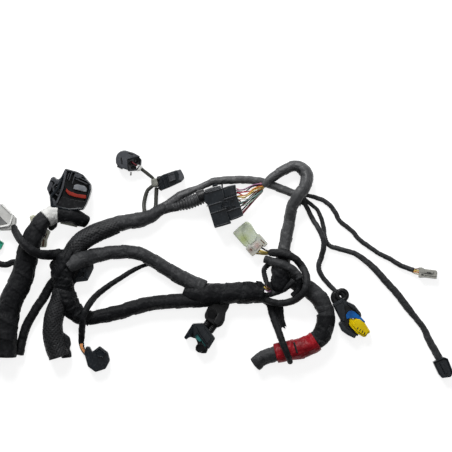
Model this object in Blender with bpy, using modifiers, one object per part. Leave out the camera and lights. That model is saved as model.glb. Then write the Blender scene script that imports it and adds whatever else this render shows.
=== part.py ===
"""Taped vehicle wiring harness laid out flat: trunks, branches and their connectors.

The harness is drawn as on a form board. Every place is given in millimetres, x to the right and y
down the board from its upper left corner, z up from the floor. ORIGIN is the board point that
becomes the part's origin. A route is a list of (x, y, diameter, lift), where the lift is the height
of the bundle's underside above the floor.
"""

import math

import bmesh
import bpy
from mathutils import Matrix, Vector

MM = 0.001
ORIGIN = (164.0, 265.9)
CLEARANCE = 0.3
TAPE_WALL = 1.0
RING_SPACING = 8.5


# Routes of the trunks, thick to thin

TRUNK_LEFT = [
    (5, 357, 23, 0), (5, 335, 24, 0), (8, 315, 24, 0), (13, 297, 23.5, 0), (21, 280, 23, 0),
    (26, 262, 22, 2), (30, 247, 21, 6), (37, 232, 19, 9), (44, 221, 17, 9), (53, 215, 17, 6),
    (63, 214.5, 17, 2), (73, 216.5, 16.5, 0), (82, 218, 15, 0), (87, 213, 13, 0), (86, 205, 11, 1),
]
TRUNK_MAIN = [
    (60, 357, 20, 0), (56, 345, 20, 0), (53.5, 332, 20, 0), (54.5, 318, 20, 0), (60, 302, 20, 0),
    (64, 288, 20, 1),
]
TRUNK_UPPER_BRAID = [
    (68, 262, 20, 1), (70, 251, 20, 0), (78, 240, 20, 0), (90, 233, 20, 0), (103, 228.5, 19, 0),
    (118, 224, 16.5, 0),
]
TRUNK_UPPER_TAPE = [
    (114, 225.2, 15, 1), (119, 223.7, 16, 0), (128, 222, 15, 0), (140, 220, 16, 0),
    (152, 215.5, 14, 0), (160, 210.5, 12, 0), (166, 207, 10, 0),
]
JUNCTION = [
    (67, 249, 23, 0), (65, 260, 28, 0), (64, 274, 26, 0), (64, 288, 24, 0), (66, 302, 25, 0),
    (66, 316, 22, 0),
]
BRANCH_UPPER = [
    (72, 260, 13, 9), (84, 257.5, 13, 6), (96, 255, 13, 1), (112, 252.5, 13, 0), (130, 252, 13, 0),
    (143, 255, 13, 0), (156, 262, 13, 0), (170, 270, 13, 0), (186, 279, 14, 0), (204, 288, 14, 2),
]
BRANCH_LOWER = [
    (66, 308, 13, 4), (80, 316.5, 14, 0), (92, 317.5, 13.5, 0), (106, 315, 13.5, 0),
    (120, 312, 13.5, 0), (138, 306.5, 13.5, 0), (158, 302, 13.5, 0), (178, 300, 13.5, 0),
    (203, 299, 13, 2),
]
TRUNK_MIDDLE = [
    (197.5, 293.5, 20, 0), (210, 293.5, 20.5, 0), (230, 293.2, 20.5, 0), (250, 292.5, 21, 0),
    (264, 293, 19, 0),
]
BUNDLE_UPPER = [
    (156, 210, 8, 2), (168, 202, 8, 0), (179, 194, 8, 0), (190, 188, 7.5, 0), (202, 182.5, 7.5, 0),
    (216, 179, 7.5, 0), (240, 178.5, 7.5, 0), (258, 180, 7.5, 0), (272, 184.5, 7.5, 0),
    (286, 190, 7.5, 0), (299, 194.5, 7.5, 0), (306, 197.5, 7, 0),
]
CORRUGATED_TUBE = [
    (160, 210, 10.5, 2), (170, 206, 10.5, 1.5), (180, 202, 10.5, 3), (190, 198.5, 10.5, 5),
    (200, 195, 10.5, 6.5),
]
BUNDLE_LOOP = [
    (236, 203, 15, 3), (247, 196, 13, 4), (258, 186.5, 11, 4.5), (268, 178, 9.5, 3),
    (280, 170.5, 10, 2), (291, 166.5, 11, 1), (301, 168.5, 12.5, 1), (308, 177, 13.5, 4),
    (305, 187.5, 12.5, 8), (297.5, 197, 11.5, 9), (292.5, 208, 11.5, 5), (290, 221, 11.5, 0),
    (287, 236, 11.5, 0), (284.5, 250, 12, 0), (286, 263, 13, 0), (293, 276, 14, 0),
]
TRUNK_RIGHT = [
    (291, 273.5, 11, 1), (296, 279, 15, 0), (304, 286.5, 17, 0), (317, 296, 17.5, 0),
    (325.5, 309, 17.5, 0), (326, 323, 17.5, 1), (323.5, 333, 17.5, 1.4), (317, 341, 17.5, 1.4),
    (306, 346.8, 17, 1.4), (295, 350, 17, 1.4), (278, 353.5, 16.5, 1.4), (264, 358.5, 15.5, 0.5),
    (254, 364.5, 14.5, 0),
]

# Routes of the branches that lie free

BRANCH_WHITE_PLUG = [
    (11, 224.5, 7.5, 3), (17, 232.5, 8, 13), (24, 242, 8, 27.5), (33, 250, 9, 30.5), (42, 255, 10, 23.5),
    (52, 255.5, 11.5, 12), (62, 254, 11.5, 9),
]
BRANCH_CROSSING = [
    (154, 263, 4, 6), (144, 265.5, 4, 1), (132, 271, 5, 0), (119, 279, 5.5, 0), (107, 287, 6, 0),
    (97, 295, 6.5, 2), (90, 304, 6.5, 12), (84.5, 314, 6.5, 15.7), (82, 325, 6.5, 11),
    (81.5, 335, 6, 3), (83, 344, 5, 1), (87, 352, 5, 1), (93, 357, 5, 1),
]
BRANCH_LEFT_DOWN = [
    (60, 276, 9.5, 8), (52, 284, 9.5, 2), (44, 298, 9.5, 0), (35, 312, 9.5, 0), (28, 326, 9.5, 0),
    (24, 340, 9.5, 0), (21, 355, 9.5, 2),
]
BRANCH_TO_RED_TAPE = [
    (258, 299, 5.5, 1), (267, 305.5, 5.5, 0), (271, 316, 5.5, 1), (276, 329, 5.5, 9),
    (279.5, 338.5, 5.5, 17.5), (283, 347, 5.5, 21.3), (286.5, 355, 5.5, 20.6), (289, 362, 5, 14),
]
BRANCH_GREY_PLUG = [
    (302, 196, 3.6, 3), (308, 195, 4, 2), (316, 197, 4, 0), (324, 200, 4.2, 0), (331, 205, 4.5, 0),
    (336, 212, 4.5, 0), (340, 220, 4.5, 0), (347, 226, 4.6, 0), (353, 231, 4.6, 0),
    (359.5, 239, 4.8, 0), (368, 246, 5, 0), (379, 253.5, 5, 0), (390, 259, 5, 0),
    (401, 265, 5, 0.5), (418.5, 271, 5, 1.6),
]
BRANCH_EDGE_PLUG = [
    (301, 196.5, 4, 1), (306, 200.5, 4, 0), (311, 204.5, 4, 0), (317, 210, 4, 0), (321, 218, 4.3, 0),
    (323.5, 228, 4.6, 0), (325, 238, 5, 0), (330, 245, 5, 0), (342, 249, 5.2, 0),
    (355, 253, 5.6, 0), (367, 261, 6.5, 0), (377, 270, 7.4, 0), (387, 281.5, 7.6, 0),
    (397, 292.5, 7.6, 0), (408, 307, 7.2, 0), (418, 319.5, 6.2, 0), (424.5, 328.5, 6.4, 0),
    (429, 339, 7.4, 0), (436.5, 353, 8, 0), (440, 360, 8, 0.5),
]
BRANCH_RING = [
    (302, 198, 3.8, 2.5), (304.5, 203, 4, 1.5), (308, 210, 4.2, 0), (312.5, 219, 4.3, 0.6),
    (318, 228, 4.4, 4.2), (322.3, 237, 4.5, 5.8), (323.4, 246, 4.4, 4.8), (321.5, 256, 4.3, 1),
    (319, 266, 4.3, 0), (321, 274.5, 4.4, 0), (326.5, 282, 4.5, 0.5), (334, 290.5, 4.6, 1.5),
]
BRANCH_OVAL_PLUG = [
    (146, 213, 3.8, 8), (145, 206, 3.8, 4), (146, 199, 3.8, 2), (149, 191.5, 3.8, 1.5),
    (153.5, 186.5, 3.6, 2.4), (154.8, 182.5, 3.6, 2.6), (153, 178.5, 3.6, 3),
    (147, 173.3, 3.6, 4), (139, 167, 3.6, 5),
]
BRANCH_SQUARE_PLUG = [
    (155, 213, 3.8, 7), (156.7, 206, 3.8, 3), (157.3, 197, 3.8, 1.5), (157.8, 187.4, 3.8, 2),
]
BRANCH_GREEN_PLUG = [
    (24, 264, 6.5, 9), (15, 262, 6.5, 4), (6, 264.5, 6.5, 0), (-2, 262.5, 6.5, 0),
    (-7, 256, 5.5, 0), (-6.5, 249, 5, 0.5),
]
LOOP_NYLON_PLUG = [
    (257, 249, 8, 3), (264, 252.5, 8, 3), (273, 252.5, 8, 8), (284, 253.5, 7.5, 13.5),
    (294, 258, 7.5, 12.5), (301, 265.5, 7.5, 9), (305.5, 275, 7.5, 13.5), (305.5, 285, 7.5, 18.3),
    (301, 294, 7.5, 17), (292, 300.5, 7.5, 9), (280, 303, 7.5, 5), (268, 300.5, 7.5, 6.5),
    (258, 296, 7.5, 7),
]
LOOP_THIN = [
    (276, 264, 4.2, 6), (268, 265.5, 4.2, 3), (263.8, 270, 4.2, 2), (265, 277.5, 4.2, 3),
    (266, 284, 4.2, 6), (263, 289, 4.2, 10),
]
LOOP_INNER = [
    (258, 293, 5, 8), (267, 295, 5, 6), (275, 293, 5, 4), (284, 289, 5, 8), (290, 284, 5, 14.5),
    (292.5, 281, 5, 15.8),
]
TAPE_TAIL = [
    (263.5, 258.5, 7.5, 9), (271, 261, 8, 9.5), (280, 263.5, 8.5, 14), (290, 268, 8.5, 15),
    (297, 274.5, 8, 15.2), (299, 279.5, 7, 16.8),
]


def smooth(route):
    """Sample a Catmull-Rom curve through the route as (x, y, z, diameter)."""
    knots = [Vector((x, y, lift + diameter / 2, diameter)) for x, y, diameter, lift in route]
    knots = [2 * knots[0] - knots[1]] + knots + [2 * knots[-1] - knots[-2]]
    samples = []
    for before, start, end, after in zip(knots, knots[1:], knots[2:], knots[3:]):
        steps = max(1, round((end.xyz - start.xyz).length / RING_SPACING))
        for step in range(steps):
            t = step / steps
            samples.append(0.5 * (2 * start + (end - before) * t
                                  + (2 * before - 5 * start + 4 * end - after) * t ** 2
                                  + (3 * start - before - 3 * end + after) * t ** 3))
    samples.append(knots[-2])
    for sample in samples:
        sample.z = max(sample.z, sample.w / 2)
    return samples


def stretch(route, middle, length):
    """Return the samples of a route that lie along a length around the board point middle."""
    samples = smooth(route)
    finer = [start.lerp(end, step / 4) for start, end in zip(samples, samples[1:])
             for step in range(4)]
    near = min(finer, key=lambda sample: (sample.xy - Vector(middle)).length)
    return [sample for sample in finer if (sample.xy - near.xy).length <= length / 2]


def on_board(x, y, z):
    """Turn a board place in millimetres into the part's frame in metres."""
    return Vector(((x - ORIGIN[0]) * MM, (ORIGIN[1] - y) * MM, z * MM))


# Collections and materials

for old in list(bpy.data.objects):
    bpy.data.objects.remove(old, do_unlink=True)

HARNESS = bpy.data.collections.new("wiring_harness")
CUTTERS = bpy.data.collections.new("cutters")
bpy.context.scene.collection.children.link(HARNESS)
bpy.context.scene.collection.children.link(CUTTERS)

FINISHES = {
    "cloth_tape": ((0.035, 0.035, 0.037), 0.85),
    "vinyl_tape": ((0.045, 0.045, 0.048), 0.5),
    "braided_sleeve": ((0.06, 0.06, 0.063), 0.8),
    "black_plastic": ((0.03, 0.03, 0.032), 0.45),
    "corrugated_plastic": ((0.04, 0.04, 0.042), 0.5),
    "grey_plastic": ((0.5, 0.49, 0.46), 0.5),
    "charcoal_plastic": ((0.09, 0.09, 0.095), 0.5),
    "natural_nylon": ((0.78, 0.8, 0.7), 0.35),
    "white_plastic": ((0.8, 0.8, 0.78), 0.4),
    "green_plastic": ((0.05, 0.3, 0.16), 0.4),
    "yellow_plastic": ((0.85, 0.62, 0.05), 0.4),
    "red_silicone": ((0.75, 0.12, 0.04), 0.5),
    "blue_silicone": ((0.08, 0.2, 0.55), 0.5),
    "teal_silicone": ((0.1, 0.4, 0.38), 0.5),
    "black_rubber": ((0.03, 0.03, 0.03), 0.7),
    "red_tape": ((0.62, 0.05, 0.06), 0.4),
    "white_tape": ((0.78, 0.77, 0.73), 0.6),
    "tan_tape": ((0.55, 0.4, 0.22), 0.65),
}


def material(finish):
    """Return the Principled material of a finish, made once."""
    if finish in bpy.data.materials:
        return bpy.data.materials[finish]
    colour, roughness = FINISHES[finish]
    result = bpy.data.materials.new(finish)
    result.use_nodes = True
    shader = result.node_tree.nodes["Principled BSDF"]
    shader.inputs["Base Color"].default_value = (*colour, 1)
    shader.inputs["Roughness"].default_value = roughness
    shader.inputs["Metallic"].default_value = 0
    return result


def file_away(piece, finish):
    """Put a piece in the harness, or a cutter (finish None) in the cutters' collection."""
    for collection in list(piece.users_collection):
        collection.objects.unlink(piece)
    if finish is None:
        CUTTERS.objects.link(piece)
        piece.hide_render = True
        piece.display_type = "WIRE"
    else:
        HARNESS.objects.link(piece)
        piece.data.materials.clear()
        piece.data.materials.append(material(finish))
    return piece


# Bundles

def tube(name, samples, finish, grow=0.0, level=2):
    """Model a bundle along samples (x, y, z, diameter) as one closed mesh."""
    places = [on_board(*sample.xyz) for sample in samples]
    if grow:
        places[0] += (places[0] - places[1]).normalized() * grow * MM
        places[-1] += (places[-1] - places[-2]).normalized() * grow * MM
    line = bpy.data.curves.new(name + "_line", "CURVE")
    line.dimensions = "3D"
    line.twist_mode = "Z_UP"
    line.bevel_depth = MM
    line.bevel_resolution = level
    line.use_fill_caps = True
    spline = line.splines.new("POLY")
    spline.points.add(len(samples) - 1)
    for point, place, sample in zip(spline.points, places, samples):
        point.co = (*place, 1)
        point.radius = sample.w / 2 + grow
    guide = bpy.data.objects.new(name + "_line", line)
    bpy.context.scene.collection.objects.link(guide)
    bpy.context.view_layer.update()
    evaluated = guide.evaluated_get(bpy.context.evaluated_depsgraph_get())
    mesh = bpy.data.meshes.new_from_object(evaluated)
    bpy.data.objects.remove(guide)
    mesh.name = name
    shape = bmesh.new()
    shape.from_mesh(mesh)
    bmesh.ops.remove_doubles(shape, verts=shape.verts, dist=0.01 * MM)
    bmesh.ops.recalc_face_normals(shape, faces=shape.faces)
    shape.to_mesh(mesh)
    shape.free()
    mesh.shade_smooth()
    mesh.set_sharp_from_angle(angle=math.radians(50))
    return file_away(bpy.data.objects.new(name, mesh), finish)


def cut(piece, *cutters, operation="DIFFERENCE"):
    """Cut a piece with cutters, or join them to it."""
    for cutter in cutters:
        boolean = piece.modifiers.new(cutter.name, "BOOLEAN")
        boolean.operation = operation
        boolean.solver = "EXACT"
        boolean.object = cutter
    return piece


def room_for(samples, name, level=2):
    """Return a cutter that leaves CLEARANCE around a bundle."""
    return tube("room_for_" + name, samples, None, grow=CLEARANCE, level=level)


# Connector pieces, each in the frame of its connector: x to the nose, z up

def stand(name, at, nose, size, pitch=0.0, roll=0.0, lift=0.0):
    """Add the empty that holds a connector of a given size, its lowest corner at the lift."""
    holder = bpy.data.objects.new(name, None)
    HARNESS.objects.link(holder)
    holder.empty_display_size = 5 * MM
    heading = math.atan2(-nose[1], nose[0])
    holder.rotation_euler = (math.radians(roll), math.radians(pitch), heading)
    down = holder.rotation_euler.to_matrix()[2]
    reach = sum(abs(component) * half for component, half in zip(down, (side / 2 for side in size)))
    holder.location = on_board(at[0], at[1], lift + reach)
    return holder


def block(name, holder, finish, size, at=(0, 0, 0), edge=0.8, turn=0.0, segments=1):
    """Add a box with bevelled edges."""
    bpy.ops.mesh.primitive_cube_add(size=1)
    piece = bpy.context.object
    piece.name = piece.data.name = name
    piece.data.transform(Matrix.Diagonal((*(side * MM for side in size), 1)))
    return seat(piece, holder, finish, at, edge, (0, 0, turn), segments)


def barrel(name, holder, finish, diameter, length, at=(0, 0, 0), edge=0.0, axis="x", sides=20,
           far_diameter=None):
    """Add a cylinder, or a cone if it has a far diameter, along an axis of its connector."""
    far = diameter if far_diameter is None else far_diameter
    bpy.ops.mesh.primitive_cone_add(vertices=sides, radius1=diameter / 2 * MM, radius2=far / 2 * MM,
                                    depth=length * MM)
    piece = bpy.context.object
    piece.name = piece.data.name = name
    turn = {"x": (0, 90, 0), "y": (-90, 0, 0), "z": (0, 0, 0)}[axis]
    return seat(piece, holder, finish, at, edge, turn, 1)


def seat(piece, holder, finish, at, edge, turn, segments):
    """Parent a piece to its connector, place it there and bevel it."""
    piece.parent = holder
    piece.location = Vector(at) * MM
    piece.rotation_euler = [math.radians(angle) for angle in turn]
    if edge:
        bevel = piece.modifiers.new("edges", "BEVEL")
        bevel.width = edge * MM
        bevel.segments = segments
        bevel.limit_method = "ANGLE"
        bevel.angle_limit = math.radians(50)
    return file_away(piece, finish)


# Trunks and taped branches

def model_trunks():
    """Model the taped trunks, each trimmed where it meets a thicker one."""
    rooms = {}
    routes = {
        "trunk_left": TRUNK_LEFT, "trunk_main_braid": TRUNK_MAIN, "junction": JUNCTION,
        "trunk_upper_braid": TRUNK_UPPER_BRAID, "trunk_upper_tape": TRUNK_UPPER_TAPE,
        "branch_upper": BRANCH_UPPER, "branch_lower": BRANCH_LOWER,
        "trunk_middle": TRUNK_MIDDLE, "bundle_upper": BUNDLE_UPPER,
        "corrugated_tube": CORRUGATED_TUBE, "bundle_loop": BUNDLE_LOOP,
        "trunk_right": TRUNK_RIGHT,
    }
    for name, route in routes.items():
        rooms[name] = room_for(smooth(route), name, level=3)

    def trunk(name, finish, *carriers):
        piece = tube(name, smooth(routes[name]), finish, level=3)
        return cut(piece, *(rooms[carrier] for carrier in carriers))

    trunk("trunk_left", "cloth_tape")
    trunk("junction", "cloth_tape")
    trunk("trunk_main_braid", "braided_sleeve", "junction", "trunk_left")
    trunk("trunk_upper_braid", "braided_sleeve", "junction", "trunk_left")
    trunk("trunk_upper_tape", "vinyl_tape", "trunk_upper_braid")
    trunk("trunk_middle", "cloth_tape")
    trunk("branch_upper", "cloth_tape", "junction", "trunk_upper_braid", "trunk_middle")
    trunk("branch_lower", "cloth_tape", "junction", "trunk_middle", "branch_upper",
          "trunk_main_braid")
    trunk("bundle_upper", "cloth_tape", "trunk_upper_tape", "bundle_loop")
    trunk("corrugated_tube", "corrugated_plastic", "trunk_upper_tape", "bundle_upper")
    trunk("bundle_loop", "cloth_tape")
    trunk("trunk_right", "cloth_tape", "bundle_loop")
    return rooms


def model_bands(rooms):
    """Model the tapes and the tie that are wound round the bundles."""
    def band(name, route, middle, length, finish, carrier):
        samples = stretch(route, middle, length)
        for sample in samples:
            sample.w += 2 * (TAPE_WALL + CLEARANCE)
        return cut(tube(name, samples, finish, level=3), rooms[carrier])

    band("white_tape_band", TRUNK_LEFT, (51, 216), 10, "white_tape", "trunk_left")
    band("red_tape_band", TRUNK_RIGHT, (295, 350), 43, "red_tape", "trunk_right")


def model_cords(rooms):
    """Model the thin branches that lie free, each trimmed at the bundle it leaves."""
    own = {}
    plan = [
        ("cord_white_plug", BRANCH_WHITE_PLUG, "cloth_tape", ["junction"]),
        ("cord_crossing", BRANCH_CROSSING, "cloth_tape", ["branch_upper"]),
        ("cord_left_down", BRANCH_LEFT_DOWN, "cloth_tape",
         ["junction", "trunk_left", "trunk_main_braid"]),
        ("cord_to_red_tape", BRANCH_TO_RED_TAPE, "cloth_tape", ["trunk_middle"]),
        ("cord_grey_plug", BRANCH_GREY_PLUG, "cloth_tape", ["bundle_upper"]),
        ("cord_edge_plug", BRANCH_EDGE_PLUG, "cloth_tape", ["bundle_upper", "cord_grey_plug"]),
        ("cord_ring_plug", BRANCH_RING, "cloth_tape",
         ["bundle_upper", "cord_grey_plug", "cord_edge_plug"]),
        ("cord_oval_plug", BRANCH_OVAL_PLUG, "cloth_tape", ["trunk_upper_tape"]),
        ("cord_square_plug", BRANCH_SQUARE_PLUG, "cloth_tape",
         ["trunk_upper_tape", "bundle_upper"]),
        ("cord_green_plug", BRANCH_GREEN_PLUG, "cloth_tape", ["trunk_left"]),
        ("loop_nylon_plug", LOOP_NYLON_PLUG, "cloth_tape", ["trunk_middle", "bundle_loop"]),
        ("loop_thin", LOOP_THIN, "cloth_tape", ["trunk_middle", "bundle_loop"]),
        ("loop_inner", LOOP_INNER, "cloth_tape", ["trunk_middle", "loop_nylon_plug"]),
        ("tape_tail", TAPE_TAIL, "cloth_tape", ["bundle_loop"]),
    ]
    for name, route, finish, carriers in plan:
        samples = smooth(route)
        rooms[name] = room_for(samples, name)
        own[name] = cut(tube(name, samples, finish), *(rooms[carrier] for carrier in carriers))
    return own


# Connectors

def model_wide_socket(rooms):
    """Model the wide open socket with its seal and terminal block."""
    size = (38, 35, 24)
    cavity = (27, 25, 15.5)
    floor = -3
    middle = 3.5
    holder = stand("wide_socket", (70, 189), (0.95, 0.31), size, pitch=6, roll=8)
    housing = block("wide_socket_housing", holder, "black_plastic", size, edge=4)
    cut(housing, block("wide_socket_cavity", holder, None, cavity,
                       (middle, 0, floor + cavity[2] / 2), edge=0), rooms["trunk_left"])
    end = middle + cavity[0] / 2 - CLEARANCE
    low = floor + CLEARANCE
    seal = (20, 3, 6.2)
    block("wide_socket_seal", holder, "red_silicone", seal,
          (end - seal[0] / 2, -1.6, low + seal[2] / 2), edge=0.5)
    terminals = (13, 8, 5.7)
    block("wide_socket_terminals", holder, "grey_plastic", terminals,
          (end - terminals[0] / 2, 5.3, low + terminals[2] / 2), edge=0.4)
    latch = (7, 13, 3)
    block("wide_socket_latch", holder, "black_plastic", latch,
          (-14.5, 0, size[2] / 2 + CLEARANCE + latch[2] / 2), edge=0.6)


def model_oval_plug(rooms):
    """Model the rounded plug with its rear insert, and the tape that holds its two branches."""
    size = (26, 17, 14)
    cavity = (8.2, 11, 9)
    holder = stand("oval_plug", (129, 161.5), (-0.93, -0.36), size)
    housing = block("oval_plug_housing", holder, "charcoal_plastic", size, edge=4, segments=3)
    rear = -size[0] / 2
    cut(housing, block("oval_plug_rear_room", holder, None, cavity, (rear + 3.9, 0, 0), edge=0))
    insert = (5.2, cavity[1] - 2 * CLEARANCE, cavity[2] - 2 * CLEARANCE)
    piece = block("oval_plug_insert", holder, "grey_plastic", insert,
                  (rear + 8 - CLEARANCE - insert[0] / 2, 0, 0), edge=0.5)
    cut(piece, rooms["cord_oval_plug"])
    band = stand("tan_tape", (155.8, 182.9), (0, 1), (8.4, 8.4, 8.4), lift=0.2)
    wrap = barrel("tan_tape_band", band, "tan_tape", 8.4, 8.4, edge=0.5, sides=16)
    cut(wrap, rooms["cord_oval_plug"])


def model_square_plug(rooms):
    """Model the square-ended plug with the latch on top."""
    size = (26, 15, 13)
    holder = stand("square_plug", (173.9, 179.7), (0.945, -0.327), size)
    block("square_plug_housing", holder, "charcoal_plastic", size, edge=1.2)
    latch = (7.5, 7, 2.2)
    block("square_plug_latch", holder, "black_plastic", latch,
          (-0.5, 1, size[2] / 2 + CLEARANCE + latch[2] / 2), edge=0.5)


def model_mated_pair(rooms):
    """Model the large plugged pair: two halves, the lock across them and the tube's collar."""
    plug = (18.5, 36.5, 22)
    header = (12.9, 30, 20)
    holder = stand("mated_pair", (217.9, 206.9), (0.96, -0.275), plug)
    block("mated_plug_half", holder, "charcoal_plastic", plug, edge=1.8)
    front = plug[0] / 2
    half = block("mated_header_half", holder, "charcoal_plastic", header,
                 (front + CLEARANCE + header[0] / 2, -1, (header[2] - plug[2]) / 2), edge=1.5)
    cut(half, rooms["bundle_loop"])
    lock = (9, 8, 3)
    block("mated_pair_lock", holder, "black_plastic", lock,
          (7.3, -0.5, plug[2] / 2 + CLEARANCE + lock[2] / 2), edge=0.6)
    collar = 5
    ring = barrel("tube_collar", holder, "black_plastic", 13.5, collar,
                  (-front - CLEARANCE - collar / 2, 12, 0.6), edge=0.6)
    cut(ring, rooms["corrugated_tube"])


def model_nylon_plug(rooms):
    """Model the translucent plug and its side latch."""
    size = (28, 18.5, 14)
    holder = stand("nylon_plug", (248.8, 238.5), (-0.63, -0.77), size)
    housing = block("nylon_plug_housing", holder, "natural_nylon", size, edge=1.2)
    cut(housing, rooms["loop_nylon_plug"])
    latch = (13, 3.5, 7)
    block("nylon_plug_latch", holder, "natural_nylon", latch,
          (-7.5, -size[1] / 2 - CLEARANCE - latch[1] / 2, 0), edge=0.6)


def model_sensor_plug(rooms):
    """Model the small sensor plug, its boot and the two sleeved leads between them."""
    lead = tube("sensor_boot_neck", smooth([(222, 299, 8, 4), (220, 308, 8, 3),
                                            (217.5, 317, 8, 3)]), None)
    boot_size = (15, 17, 13)
    place = stand("sensor_boot_place", (216, 319), (-0.54, 0.84), boot_size)
    boot = block("sensor_boot", place, "black_rubber", boot_size, edge=2)
    cut(boot, lead, operation="UNION")
    cut(boot, rooms["trunk_middle"])
    size = (24, 17, 14)
    holder = stand("sensor_plug", (202.5, 338), (-0.3, 0.95), size)
    shoulder = 3
    housing = block("sensor_plug_housing", holder, "charcoal_plastic",
                    (size[0] / 2 + shoulder, size[1], size[2]),
                    ((shoulder - size[0] / 2) / 2, 0, 0), edge=1.5)
    nose = barrel("sensor_plug_nose", holder, None, 10, 10, (shoulder + 4, 0, 0), edge=0.8)
    arm = block("sensor_plug_arm", holder, None, (9, 4, 4), (-1, -10, 1), edge=0.6)
    cut(housing, nose, arm, operation="UNION")
    seal = barrel("sensor_plug_seal", holder, "teal_silicone", 13.5, 3,
                  (shoulder + CLEARANCE + 1.5, 0, 0), edge=0.4)
    cut(seal, barrel("sensor_seal_bore", holder, None, 10 + 2 * CLEARANCE, 12,
                     (shoulder + 4, 0, 0)))
    sleeves = {
        "sensor_lead_upper": [(213, 313.5, 5, 4.5), (207.5, 323, 5, 4.5), (204.5, 329, 5, 4.5)],
        "sensor_lead_lower": [(216.5, 318.5, 4, 4.5), (211, 328.5, 4, 4.5), (208.5, 333, 4, 4.5)],
    }
    for name, route in sleeves.items():
        room = room_for(smooth(route), name)
        tube(name, smooth(route), "black_rubber")
        cut(boot, room)
        cut(housing, room)


def model_ring_plug(rooms):
    """Model the four-way plug: ring of tubing, body, seal and slotted nose."""
    size = (34, 20, 14)
    holder = stand("ring_plug", (352.4, 316.3), (0.6, 0.8), size)
    rear = -size[0] / 2
    body = (14.5, 20, 14)
    flange = (20, 5, 9)
    seal = (4, 16, 11.5)
    nose = (15, 14, 12)
    ring_radius = 6.7
    ring_wall = 2.5
    bpy.ops.mesh.primitive_torus_add(major_segments=20, minor_segments=8,
                                     major_radius=ring_radius * MM, minor_radius=ring_wall * MM)
    ring = bpy.context.object
    ring.name = ring.data.name = "ring_plug_tube_ring"
    ring.location = on_board(339.3, 295.7, ring_wall)
    file_away(ring, "corrugated_plastic")
    cut(ring, rooms["cord_ring_plug"])
    notch = stand("ring_notch_place", (339.3, 295.7), (1, 0), (1, 1, 2 * ring_wall))
    notch_cutter = barrel("ring_notch", notch, None,
                          2 * (ring_radius + ring_wall + CLEARANCE), 4 * ring_wall + 2 * CLEARANCE,
                          (0, 0, -ring_wall), axis="z")
    piece = block("ring_plug_body", holder, "black_plastic", body, (rear + body[0] / 2, 0, 0),
                  edge=1.2)
    lip = block("ring_plug_flange", holder, None, flange,
                (rear + body[0] - 4 + flange[0] / 2, -seal[1] / 2 - CLEARANCE - flange[1] / 2, 0),
                edge=1)
    cut(piece, lip, operation="UNION")
    cut(piece, notch_cutter)
    place = rear + body[0] + CLEARANCE
    block("ring_plug_seal", holder, "blue_silicone", seal, (place + seal[0] / 2, 0, 0), edge=0.6)
    place += seal[0] + CLEARANCE
    front = block("ring_plug_nose", holder, "yellow_plastic", nose, (place + nose[0] / 2, 0, 0), edge=1)
    for index in range(4):
        slot = block(f"ring_plug_slot_{index + 1}", holder, None, (4, 1.8, 3.5),
                     (place + nose[0], 3.4 * (index - 1.5), 0), edge=0)
        cut(front, slot)


def model_small_plugs(rooms):
    """Model the small plugs at the ends of the thin branches."""
    grey = stand("grey_plug", (427.5, 272.8), (0.993, 0.12), (19, 9.5, 8))
    piece = block("grey_plug_housing", grey, "grey_plastic", (19, 9.5, 8), edge=1)
    cut(piece, rooms["cord_grey_plug"])

    size = (24, 22, 13)
    cavity = (18, 17, 11)
    white = stand("white_socket", (3.5, 217), (0.707, 0.707), size)
    piece = block("white_socket_housing", white, "white_plastic", size, edge=1.2)
    cut(piece, block("white_socket_cavity", white, None, cavity,
                     (-1, 0, size[2] / 2 - 10.5 + cavity[2] / 2), edge=0),
        rooms["cord_white_plug"])

    natural = stand("natural_plug", (41, 229), (0.55, 0.84), (24, 17, 8))
    block("natural_plug_housing", natural, "natural_nylon", (24, 17, 8), edge=1)

    green = stand("green_plug", (-5, 243.5), (0.3, -0.95), (10, 8, 6))
    piece = block("green_plug_housing", green, "green_plastic", (10, 8, 6), edge=0.8)
    cut(piece, rooms["cord_green_plug"])

    crossing = stand("crossing_plug", (98, 361), (0.5, 0.87), (22, 16, 11))
    piece = block("crossing_plug_housing", crossing, "black_plastic", (22, 16, 11), edge=1.2)
    cut(piece, rooms["cord_crossing"])

    edge = stand("edge_plug", (443, 367), (0.4, 0.917), (20, 14, 11))
    piece = block("edge_plug_housing", edge, "black_plastic", (20, 14, 11), edge=1.2)
    cut(piece, rooms["cord_edge_plug"])


def model_clip(rooms):
    """Model the flat bracket with a three-cornered hole beside the junction."""
    outline = [(74, 267), (94, 264), (94, 269), (88, 280), (78, 281)]
    hole = [(79.5, 272), (87, 271), (84, 277.5)]
    thickness = 3
    sheet = bpy.data.curves.new("junction_clip", "CURVE")
    sheet.dimensions = "2D"
    sheet.fill_mode = "BOTH"
    sheet.extrude = thickness / 2 * MM
    for corners in (outline, hole):
        spline = sheet.splines.new("POLY")
        spline.points.add(len(corners) - 1)
        for point, corner in zip(spline.points, corners):
            point.co = (*on_board(*corner, 0), 1)
        spline.use_cyclic_u = True
    guide = bpy.data.objects.new("junction_clip_outline", sheet)
    bpy.context.scene.collection.objects.link(guide)
    bpy.context.view_layer.update()
    mesh = bpy.data.meshes.new_from_object(
        guide.evaluated_get(bpy.context.evaluated_depsgraph_get()))
    bpy.data.objects.remove(guide)
    shape = bmesh.new()
    shape.from_mesh(mesh)
    bmesh.ops.remove_doubles(shape, verts=shape.verts, dist=0.01 * MM)
    bmesh.ops.recalc_face_normals(shape, faces=shape.faces)
    shape.to_mesh(mesh)
    shape.free()
    clip = bpy.data.objects.new("junction_clip", mesh)
    clip.location.z = 12 * MM
    file_away(clip, "black_plastic")
    cut(clip, rooms["junction"], rooms["branch_upper"])


rooms = model_trunks()
model_bands(rooms)
model_cords(rooms)
model_wide_socket(rooms)
model_oval_plug(rooms)
model_square_plug(rooms)
model_mated_pair(rooms)
model_nylon_plug(rooms)
model_sensor_plug(rooms)
model_ring_plug(rooms)
model_small_plugs(rooms)
model_clip(rooms)
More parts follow.
